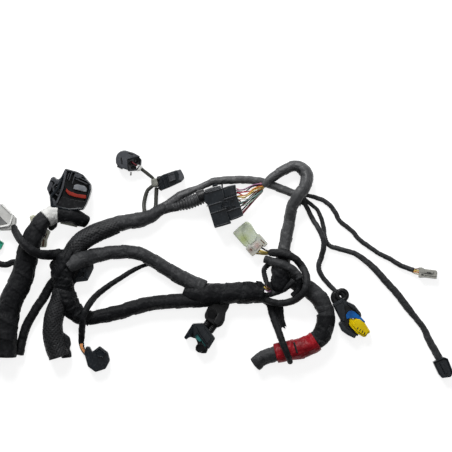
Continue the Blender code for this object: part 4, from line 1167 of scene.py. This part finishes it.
lay_wires("header_wire", 1.4, (
    ("pink", (236, 188.8, 10), (243, 190, 12), (252, 185.8, 11), (262, 183.2, 8)),
    ("mauve", (236, 190.6, 12), (244, 189.4, 13), (254, 185, 11.5), (264, 184, 8)),
    ("black", (236.5, 192, 9), (245, 191.4, 10.5), (252, 187, 10.5), (261, 184.6, 7)),
    ("crimson", (236.5, 193.4, 13), (242, 192.4, 13.5), (251, 190.6, 11), (262, 183.4, 7)),
    ("red", (236.5, 192.4, 12), (244, 195.4, 13), (250, 192.6, 11), (262, 185, 7)),
    ("orange", (237, 196.4, 11), (247, 194.4, 14), (254, 188.6, 13), (265, 186, 8)),
    ("yellow", (237, 197.2, 12), (246, 196.6, 14.5), (255, 190, 12.5), (265, 187.2, 7)),
    ("orange", (237.5, 201, 9), (245, 197.4, 12), (253.6, 192.4, 11), (264, 188.2, 6.5)),
    ("white", (237.5, 199.4, 13), (243, 199.2, 14.6), (250, 197.6, 12.5), (259, 189.2, 7)),
    ("maroon", (238, 200, 10), (244, 202.6, 12.5), (252, 196, 10), (262, 189.4, 5)),
    ("teal", (238.5, 203.4, 12), (246, 200.8, 13), (254.6, 196.4, 11), (263, 189.6, 6)),
    ("pale_green", (239, 202.4, 11), (247, 204.4, 12.5), (254.6, 198.4, 10), (263, 190.6, 5.5)),
    ("grey", (239.5, 207.4, 9), (246, 202.4, 11), (254.6, 195.6, 8.5), (263, 189.4, 4)),
    ("black", (240.5, 206.2, 10), (247, 203.6, 10.5), (254.4, 197.4, 7), (263, 190.2, 3.5)),
    ("black", (241, 211.2, 8), (246.6, 205.4, 9), (254, 198.4, 6), (262.6, 190.8, 3)),
    ("black", (239, 204.6, 9), (246, 200.6, 9.5), (253, 194.4, 7.5), (262, 188.6, 4)),
    ("crimson", (242, 214.4, 8), (247.6, 208, 7), (254.4, 200.2, 5), (262.4, 191.6, 2.5)),
    ("maroon", (242, 212.6, 11), (247.6, 206.8, 8.5), (254, 199.4, 6), (262.2, 190.8, 3)),
))

# %% [markdown]
# The nylon plug is cloudy and lets light through, so its finish scatters light under the surface.
# What is inside shows as faded spots of another colour. Real contacts inside would show too, but a
# spot that fades with the distance from a place costs nothing and can't stick out.

# %% Nylon finish
def nylon(name, colour, stain, spots=()):
    """Make a cloudy nylon finish with a stain of a second colour. A spot is a board place in
    millimetres, how far it reaches, and the colour that shows through there."""
    material = bpy.data.materials.new(name)
    nodes, links, shader = shader_nodes(material)
    place = nodes.new("ShaderNodeTexCoord").outputs["Object"]
    stained = noise_factor(nodes, links, place, 55, 0.42, 0.62)
    mixed = mix_colours(nodes, links, stained, colour, stain)
    for centre, reach, spot_colour in spots:
        apart = nodes.new("ShaderNodeVectorMath")
        apart.operation = "DISTANCE"
        apart.inputs[1].default_value = on_board(*centre)
        links.new(place, apart.inputs[0])
        fade = stretch(nodes, links, apart.outputs["Value"], before=(0.0, reach * MM),
                       after=(0.9, 0.0), smooth=True)
        mixed = mix_colours(nodes, links, fade, mixed, spot_colour)
    links.new(mixed, shader.inputs["Base Color"])
    shader.inputs["Subsurface Weight"].default_value = 0.35
    shader.inputs["Subsurface Radius"].default_value = (0.004, 0.004, 0.003)
    shader.inputs["Subsurface Scale"].default_value = 1.0
    shader.inputs["Roughness"].default_value = 0.32
    add_bump(nodes, links, shader, noise_factor(nodes, links, place, 700, 0.3, 0.7), 0.04 * MM)
    return material


greenish_nylon = nylon("natural_nylon", (0.46, 0.51, 0.4), (0.4, 0.46, 0.3), (
    ((243.6, 238.6, 12), 9, (0.3, 0.36, 0.12)), ((250, 230, 12), 6, (0.42, 0.47, 0.3)),
    ((236.6, 231.6, 12), 5, (0.44, 0.45, 0.39))))
pinkish_nylon = nylon("pinkish_nylon", (0.42, 0.43, 0.38), (0.4, 0.37, 0.32), (
    ((257, 245.6, 12), 6, (0.45, 0.3, 0.26)), ((250.4, 250, 12), 5, (0.22, 0.15, 0.13)),
    ((256.6, 236.6, 12), 5, (0.42, 0.46, 0.38))))
creamy_nylon = nylon("creamy_nylon", (0.5, 0.51, 0.42), (0.44, 0.43, 0.33))
print("nylon finishes with faded spots:", greenish_nylon.name, pinkish_nylon.name)

# %% [markdown]
# The plug is two parts side by side: the housing, and the tower of its latch, which is a little
# pinker. Four wires leave it and run into the loop that holds it.

# %% Nylon plug
gather("nylon_plug_shell", [
    slab([(246.4, 221), (250.4, 223.2), (258, 235.2), (258.8, 240.4), (249.8, 249.2),
          (243.6, 245.6), (232.6, 233), (238.6, 227.2)], 0.2, 12.8, 1.4, slope=(-0.02, -0.02)),
    slab([(244.6, 223.4), (249.6, 224.6), (257.2, 236.2), (255.4, 240.6), (250, 245.4),
          (242.6, 236), (240.4, 229)], 6, 13.3, 1.2, slope=(0.03, 0.01)),
], greenish_nylon, "natural_nylon", "nylon_plug_housing")
gather("nylon_plug_tower", [
    slab([(256.6, 233.4), (259.4, 233.8), (264, 239), (267.8, 243.6), (264.8, 247), (262.2, 246.4),
          (258.6, 251), (252.4, 256.6), (245.4, 248.8), (249.4, 242.4)], 0.2, 12.6, 1.0,
         slope=(-0.03, -0.02)),
    slab([(250.6, 246.6), (257, 241.2), (260.4, 244.6), (255.4, 251.4)], 8, 13.2, 0.8,
         slope=(-0.04, -0.04)),
], pinkish_nylon, "natural_nylon", "nylon_plug_latch")
gather("nylon_plug_contacts", [
    bar((260.4, 239.6), (262, 241.4), 1.0, 6, 12.9, 0.2),
    bar((262.4, 241.4), (264.4, 243.6), 1.1, 6, 12.7, 0.2),
    bar((262, 244.6), (262.8, 245.6), 1.2, 6, 12.6, 0.2),
    bar((250.2, 248.6), (252, 250.6), 1.2, 6, 13, 0.2),
], insulations["brown"], "vinyl_tape")
lay_wires("nylon_plug_wire", 1.8, (
    ("yellow", (255.6, 251.6, 8), (259.6, 251.8, 9.5), (264.5, 253, 8), (270, 253.4, 6)),
    ("yellow", (257.4, 249.8, 8.5), (261, 250.8, 10), (265.5, 252, 9), (270, 252.6, 7)),
    ("yellow", (254.4, 253.2, 6), (258.8, 253.6, 7), (264, 254.2, 5.5), (270, 254, 4)),
    ("black", (259.4, 246.6, 8), (262.4, 248.2, 10), (266.5, 250.4, 10), (272, 251.4, 9)),
))

# %% [markdown]
# The sensor plug hangs from the middle trunk by a rubber boot and two ribbed tubes. Its housing is a
# slanted block with a locking arm on its left and an open round mouth at its lower end. A low black slab
# under the two tubes fills the gap between them as painted shade.

# %% Sensor plug
THIN_RIB_SPACING = 1.7


def thin_rib_relief(along, around):
    """Return the relief of the fine rings on the twin tubes."""
    wave = math.cos(FULL_TURN * along / THIN_RIB_SPACING)
    return 0.22 * wave, 0.5 + 0.5 * wave


gather("sensor_boot_shell_and_painted_gap_shade", [
    slab([(210, 302.6), (230, 302.6), (228.6, 307.6), (225.8, 312.6), (224.8, 320), (222.4, 325),
          (217.4, 327.6), (212, 323.4), (205.2, 318.8), (204.4, 314.4), (207.6, 307.6)],
         0.3, 12.2, 1.6, slope=(-0.06, 0.05)),
    slab([(208.6, 309), (213.6, 307.6), (217.4, 313.4), (212.6, 321.4), (206.6, 317.6)],
         8, 14, 1.4, slope=(0.1, -0.26)),
    slab([(218, 312.4), (223.6, 312), (223.4, 319), (217.8, 325.6), (213.4, 321.8)],
         8, 13.4, 1.4, slope=(-0.24, 0.2)),
    # Painted shade: this low black slab fills the gap between the two tubes.
    slab([(213, 317), (217, 320), (210.6, 329.6), (206.4, 326.6)], 2, 6, 0.5),
], black_rubber, "black_rubber", "sensor_boot")
for name, node, points in (
        ("sensor_tube_upper", "sensor_lead_upper",
         [(213.2, 315, 7, 3.6), (208.4, 322, 7, 3.6), (204.2, 328, 7, 3.6)]),
        ("sensor_tube_lower", "sensor_lead_lower",
         [(218.6, 319.6, 6.8, 3.7), (213.8, 326, 6.8, 3.7), (209.6, 331.6, 6.8, 3.7)])):
    trunk(name, points, node, black_rubber, "black_rubber", lap_height=0, lumps=0.0, sides=24,
          spacing=0.4, profile=thin_rib_relief)
gather("sensor_plug_shell", [
    slab([(192.8, 323.2), (203, 322.6), (207, 326.4), (215.4, 338), (208.8, 348.8),
          (197.4, 333.4), (194.2, 336.6), (193, 332)], 0.4, 13.8, 1.0, slope=(-0.06, 0.0)),
    slab([(192.8, 323.2), (196.6, 324.6), (190.6, 336), (186.2, 339.2), (184, 337)],
         2, 12.8, 0.7, slope=(0.1, 0.02)),
    slab([(196.4, 326.4), (203.4, 326), (211.6, 337.4), (207.2, 343.6), (199.4, 332.4)],
         10, 14.8, 0.7, slope=(-0.08, 0.02)),
    bar((198.4, 333.6), (208, 347.4), 1.0, 6, 12.8),
], charcoal, "charcoal_plastic", "sensor_plug_housing")
gather("sensor_plug_web", [
    slab([(193.6, 324.4), (202, 323.8), (201, 333), (197.6, 335.6), (194.8, 338.2), (190.6, 336.6),
          (186.4, 338.6), (184.4, 336.6)], 1.2, 9.6, 0.8, slope=(0.04, -0.06)),
    bar((194.4, 325.8), (187.6, 335.4), 0.8, 6, 12, 0.3),
], black_plastic, "black_plastic")
gather("sensor_plug_mouth", [
    slab([(194.4, 336.6), (197.6, 334), (208.2, 348.4), (206.6, 352.8), (201.6, 353), (195.2, 349.6),
          (197.8, 343.6), (196.6, 340)], 0.4, 10.4, 1.0, slope=(0.1, -0.1)),
    drum((200.2, 347.6), 4.6, 0.4, 11.6, 0.5, recess=(0.9, 4)),
    bar((203, 340), (208, 347.4), 0.9, 6, 12), bar((201.4, 342), (206, 349.6), 0.7, 6, 11.4),
], black_plastic, "black_plastic")
gather("sensor_plug_gasket", [
    slab([(194.9, 335), (197.8, 332.8), (201.2, 336.6), (202.2, 340.4), (199.4, 341.4),
          (196.2, 338.4)], 5, 12, 0.6, slope=(0.06, -0.1)),
    slab([(200.4, 339.2), (201.4, 338.4), (206.2, 345.2), (205.4, 346.2)], 4, 11.4, 0.3),
], teal_rubber, "teal_silicone", "sensor_plug_seal")

# %% [markdown]
# The yellow plug ends the branch that runs through a fat rubber ring. A black carrier holds it, a
# blue seal shows between the two, and its yellow nose has four contact slots.

# %% Yellow plug with the ring
gather("ring_plug_grommet", [
    ring((341.8, 295), 5.4, 4.8, 2.3), ring((338.8, 297.4), 3.7, 5.4, 3.1),
], black_rubber, "black_rubber", "ring_plug_tube_ring")
gather("ring_plug_carrier", [
    slab([(331.8, 303.6), (341.6, 298), (348.4, 302), (354, 304.4), (360.6, 312.8), (361, 316.4),
          (358, 318.6), (352, 318), (348, 319), (348, 325.6), (352, 331.2), (356, 334),
          (354.6, 337.9), (347, 334.4), (341, 330), (337.8, 323.4), (340.4, 320.6)], 0.3, 10.8, 1.0,
         slope=(-0.06, 0.0)),
    slab([(332.8, 303.9), (341, 299.2), (343.6, 303.6), (345.2, 313), (344.4, 321.6), (341.4, 320.6)],
         8, 12.8, 0.8, slope=(-0.05, 0.0)),
    slab([(347.4, 301.6), (353.6, 304.6), (360.4, 312.9), (360.6, 316), (358.6, 315),
          (354, 309.4), (346.4, 304.4)], 8, 13.6, 0.6, slope=(-0.08, 0.02)),
    slab([(338, 323.4), (341.6, 321.4), (346.4, 328), (356.2, 334.4), (354, 337.9), (347, 334.6),
          (341, 330.4)], 0.3, 13, 0.9, slope=(0.02, 0.08)),
    bar((335.2, 305), (341.4, 301.6), 0.8, 10, 13.6),
], charcoal, "charcoal_plastic", "ring_plug_body")
gather("ring_plug_hollow", [
    slab([(344.8, 305), (352, 308.4), (357.6, 314), (349, 317), (347.4, 326), (350, 331), (344.6, 328),
          (343.6, 318)], 6, 11.9, 0.4, slope=(-0.05, 0.0)),
    slab([(345.5, 320), (349.4, 320.4), (352.4, 327), (358.4, 333), (357.4, 335.8), (350, 333.2),
          (345, 328)], 0.5, 8.6, 0.5),
], black_rubber, "black_rubber")
gather("ring_plug_gasket", [
    slab([(345.2, 314.6), (347.8, 311.2), (350.6, 310.1), (353.4, 310.8), (357.6, 314.2),
          (360.6, 317), (364.8, 321.4), (364.2, 322.2), (359.4, 319.6), (354.6, 317.4), (349, 318),
          (346, 318.4)], 4, 12.7, 0.8, slope=(-0.07, 0.0)),
], blue_rubber, "blue_silicone", "ring_plug_seal")
gather("ring_plug_tip", [
    slab([(348, 317.6), (350.4, 316.2), (352.2, 318.8), (354.4, 318.6), (355.8, 316.6),
          (358.8, 317.2), (363.4, 321), (366, 325.2), (369.8, 331.2), (369, 332.6), (366.8, 333.6),
          (365.8, 335.9), (363.2, 336.8), (356.6, 333.2), (350.8, 327.4), (348.2, 323.6),
          (348.9, 320.9)], 0.8, 11.2, 0.8, slope=(-0.02, -0.06)),
    slab([(354.2, 319.6), (358.6, 318.2), (363, 321.8), (368.6, 331), (366.6, 333), (364, 335),
          (357, 331), (352.4, 325.2)], 6, 12.4, 0.7, slope=(-0.05, -0.04)),
    slab([(349, 318.4), (350.4, 317.4), (352.6, 320.6), (355.6, 326.8), (352.6, 326.4),
          (349.4, 322.6)], 6, 12, 0.7, slope=(0.1, -0.06)),
], yellow_plastic, "yellow_plastic", "ring_plug_nose")
gather("ring_plug_slots", [
    bar((x + 0.4, y - 1), (x - 0.4, y + 1), 0.95, 6, 12.8 - 0.2 * number, 0.1)
    for number, (x, y) in enumerate([(357, 327.9), (359.3, 329.6), (361.7, 331.1), (364, 332.9)])
], black_plastic, "black_plastic")

# %% [markdown]
# The grey plug ends the long branch. Its four wires show bare between the tape and the plug, and
# two dark windows lie in its top.

# %% Grey plug
gather("grey_plug_shell", [
    slab([(418.3, 267.2), (421.2, 267.2), (424.2, 268.8), (424.2, 277.4), (418.3, 277.6)], 0.4, 8.4, 0.6),
    slab([(423.6, 268.8), (435.8, 270.2), (436.9, 272), (436, 278.9), (423.6, 277.4)], 0.6, 7.6, 0.6),
    slab([(419.6, 269.4), (433, 270.8), (432.6, 273.4), (419.6, 272.6)], 5, 8.9, 0.4,
         slope=(0.0, -0.05)),
    bar((424, 274.6), (435.4, 275.8), 0.8, 5, 8.3, 0.2),
    bar((424.4, 277), (435.6, 278.2), 0.7, 5, 8.1, 0.2),
    bar((419, 276.4), (423.6, 276.4), 1.2, 5, 9, 0.3),
], warm_grey, "grey_plastic", "grey_plug_housing")
gather("grey_plug_windows", [
    bar((426, 272.4), (430.4, 272.9), 1.1, 6, 9, 0.1),
    bar((420.4, 274.4), (423, 274.6), 1.3, 6, 8.7, 0.1),
], black_plastic, "black_plastic")
lay_wires("grey_plug_wire", 1.5, (
    ("brown", (411.6, 269.2, 3), (415, 269, 4.6), (419.4, 268.6, 4.4)),
    ("yellow", (411.6, 270.2, 3.4), (415, 270.4, 5), (419.4, 270.6, 4.8)),
    ("orange", (411.6, 271, 3.2), (415, 271.8, 4.8), (419.4, 272.4, 4.4)),
    ("cream", (411.6, 271.8, 2.6), (415, 273.4, 4), (419.4, 274.4, 4)),
))

# %% [markdown]
# The white socket lies at the left edge with only its corner in the photograph. A pale plug lies
# half under the left trunk beside it. What the photograph doesn't show of them is kept plain.

# %% White socket and pale plug
# The housing is the white plastic darkened as painted shade; the rim keeps the plain white.
gather("white_socket_shell", [
    slab([(-11, 217.6), (2.2, 202.8), (13, 213.6), (17.2, 218), (16.8, 223), (15, 226.6),
          (12.4, 230.4), (2, 230.6), (-4, 227.6)], 0.2, 11.4, 1.3, slope=(0.02, 0.0)),
    slab([(13.4, 214.6), (16.8, 217.8), (16.4, 223), (14.4, 226.6), (12, 230), (0, 230.2),
          (-4, 228.2), (10.6, 226.6), (12.8, 222.6)], 6, 12.2, 0.9, slope=(0.0, -0.1)),
], white_painted_shade, "white_plastic", "white_socket_housing")
gather("white_socket_rim", [
    slab([(12.6, 213.4), (14.6, 214.6), (13.6, 219), (11.9, 224.2), (9.6, 226.4), (-3, 228.2),
          (-3.4, 226.6), (8.6, 224.9), (10.8, 222), (12.4, 217)], 6, 13.6, 0.6),
    bar((1.8, 203.8), (12.6, 214.4), 1.0, 8, 12.4, 0.4),
], white_plastic, "white_plastic")
# This dark grey face of the white socket is its shaded lower side, as painted shade.
gather("white_socket_inside", [
    slab([(-9, 214.6), (-0.6, 214.4), (8.6, 223.8), (-1, 225.6), (-4, 225.8)], 8, 11.9, 0.4),
], white_side_painted_shade, "grey_plastic")
gather("natural_plug_shell", [
    slab([(30, 216.4), (33.4, 214.6), (37.4, 215.4), (46, 228), (51, 231.6), (47.6, 240),
          (47, 247.2), (41.6, 247.6), (38.6, 243.6), (33.4, 230)], 0.3, 8.4, 0.8),
    slab([(60.4, 219.6), (78, 223.8), (77.2, 227.4), (60.4, 223.6)], 0.2, 3.6, 0.5),
], creamy_nylon, "natural_nylon", "natural_plug_housing")
gather("natural_plug_contact", [
    bar((44.6, 239.6), (43.4, 246.4), 1.8, 7, 9, 0.2), bar((47.6, 233.6), (45.6, 238), 1.0, 7, 9, 0.2),
], insulations["brown"], "natural_nylon")

# %% [markdown]
# Three more plugs lie at the edges of the board, and the photograph shows only a part of each.

# %% Plugs at the edges
gather("green_plug_shell", [
    slab([(-9.4, 239), (-3, 238.4), (0.6, 240.4), (4.4, 243), (1.2, 249.6), (-8, 249)], 0.3, 6, 0.6,
         recess=(1.2, 1)),
], green_plastic, "green_plastic", "green_plug_housing")
gather("crossing_plug_shell", [
    slab([(84.6, 352), (86.6, 346), (90.4, 346.4), (92.6, 351.2), (95.4, 349.2), (100, 345.6),
          (108.4, 352), (110.4, 360), (106, 368.4), (96, 371.6), (88.4, 366)], 0.3, 10.4, 1.0,
         slope=(-0.06, 0.03)),
    slab([(96, 350.4), (100, 347.4), (106.4, 352.4), (104, 357), (98, 356)], 7, 12, 0.7,
         recess=(0.9, 0.8)),
], charcoal, "charcoal_plastic", "crossing_plug_housing")
gather("edge_plug_shell", [
    slab([(432, 361.4), (443, 356.6), (447, 358), (452.6, 372), (450, 376.4), (441.4, 377.6),
          (438, 374)], 0.3, 10.4, 1.0, recess=(1.6, 1.2)),
    bar((440, 362), (445.6, 373), 3.2, 8, 12, 0.5),
], charcoal, "charcoal_plastic", "edge_plug_housing")

# %% [markdown]
# Loose ends of tape stand off the trunks. Cloth simulation could curl them, but at this size each is a
# few pixels, so they are thin slabs with torn outlines. One near-black slab on the big loop is no loose
# end: it is painted shade that stands for a fold in the tape.

# %% Loose tape ends
gather("loose_tape_ends_and_painted_fold_shade", [
    slab([(271.6, 301), (282.6, 301), (283.8, 311), (283.4, 316), (286.6, 326.6), (284.8, 326),
          (285.4, 329), (282.4, 327), (280.6, 329.8), (278.2, 328), (275.4, 318), (273.6, 309)],
         1.2, 2.2, 0.1),
    slab([(277.6, 302), (282, 303), (284.4, 318), (283, 325), (280.4, 314)], 2.6, 3.6, 0.1),
    slab([(60, 330), (65.4, 333.4), (70, 337), (71.4, 344), (69.8, 348.4), (71.4, 352), (72, 357),
          (62, 358)], 0.4, 9, 1.2, slope=(-0.08, 0.0)),
    slab([(322.6, 321), (321, 323.6), (318, 325.6), (316.8, 328), (314.6, 328.4), (315, 331.2),
          (313.4, 332.2), (313.8, 335.4), (321, 338), (325, 326)], 2, 10, 0.8),
    slab([(297.6, 200.4), (303.4, 201.6), (302.8, 205.6), (301, 204.4), (299.8, 207)], 8, 8.9, 0.1),
    slab([(242.6, 281.4), (247, 281), (249.4, 284.6), (245, 286)], 12, 17.6, 0.5),
    # Painted shade: this near-black slab on the loop stands for the shadow of a fold.
    slab([(294.4, 168.6), (298.2, 168.8), (300.4, 171), (299.2, 172), (296.4, 170.6)], 12, 15.4, 0.3),
    slab([(255.6, 280.4), (261.4, 281.2), (265, 285.6), (258, 287.6)], 11, 17.4, 0.5),
    slab([(51, 262), (53.6, 259.6), (57, 263), (57, 270), (52.6, 268.4)], 6, 14, 0.8),
    slab([(48.6, 224), (58, 221.4), (57.4, 226.6), (52.4, 231), (49, 229.6)], 2, 11, 1.2),
    slab([(221.2, 180.4), (222.8, 180.4), (223, 188), (221.4, 188)], 6, 7.4, 0.2),
    slab([(267.4, 282), (274, 280.6), (276.6, 288), (274, 292), (266.4, 291)], 2, 11, 1.2),
], cloth_tape, "cloth_tape")
gather("white_band_tail", [
    slab([(38.6, 216.2), (41, 213.6), (47, 210.4), (49, 216), (43, 219.6), (40.4, 219)], 18, 18.9, 0.1),
], white_band_tape, "white_tape")
gather("oval_plug_tape", [
    slab([(136, 166), (139.4, 164.6), (142.8, 167), (141, 170.6), (137.6, 171.6)], 4.4, 9.8, 0.8),
    slab([(130.4, 172), (131.8, 172), (131.6, 175.6), (130.2, 175.6)], 1, 2.6, 0.3),
], white_band_tape, "white_tape")
gather("dark_tie", [
    bar((293.4, 341.2), (296.6, 352), 2.0, 18.4, 20.2, 0.5),
], black_plastic, "black_plastic")

# %% [markdown]
# A few bare wires show where the tape stops: in the oval plug, before the crossing plug and in the
# middle of the loops.

# %% Bare wires
lay_wires("bare_wire", 1.4, (
    ("maroon", (131.4, 161.6, 8), (134.6, 164, 9.2), (138, 166.8, 8)),
    ("copper", (82.4, 343, 5.4), (83.4, 348, 6), (86.6, 353, 5.6)),
    ("orange", (80.6, 343, 4.8), (81.4, 348, 5.4), (84.6, 352.6, 4.8)),
    ("copper", (81.4, 343, 5.4), (82.2, 348, 6.2), (85.4, 353.4, 5.8)),
    ("yellow", (263.6, 285.6, 15), (265.2, 288, 17), (268, 289.8, 14)),
    ("brown", (265.4, 285, 15), (267.4, 287.4, 16.6), (270.6, 289.4, 13)),
    ("mauve", (264, 287.6, 16), (267, 290.6, 16.6), (271, 291, 13)),
))

# %% [markdown]
# The clip that holds the harness to the car sits beside the junction. It is a flat bracket with a
# raised spine, and a dark web joins it to the tape.

# %% Clip
gather("holding_clip", [
    slab([(80, 262), (94, 262.4), (94.4, 268), (91.6, 274), (88.2, 280.6), (77, 282), (75.8, 278.4),
          (79.4, 276.4), (84, 276.4), (85, 272), (80, 271)], 9.6, 13.8, 0.5, slope=(-0.04, 0.0)),
    slab([(92, 264.6), (93.6, 267), (88.6, 278.6), (86, 278), (86.6, 268.6)], 12, 15, 0.5,
         slope=(-0.06, 0.04)),
    slab([(83.6, 266.4), (86, 267.6), (80.4, 277.8), (76, 283.4), (73.6, 280)], 6, 13.6, 0.6,
         slope=(0.1, 0.0)),
], charcoal, "charcoal_plastic", "junction_clip")
gather("holding_clip_web", [
    slab([(72, 262), (90, 263), (91, 268), (86.8, 280), (76.4, 281.4), (73.4, 287.6), (68, 282)],
         2, 11, 0.8),
], black_rubber, "black_rubber")
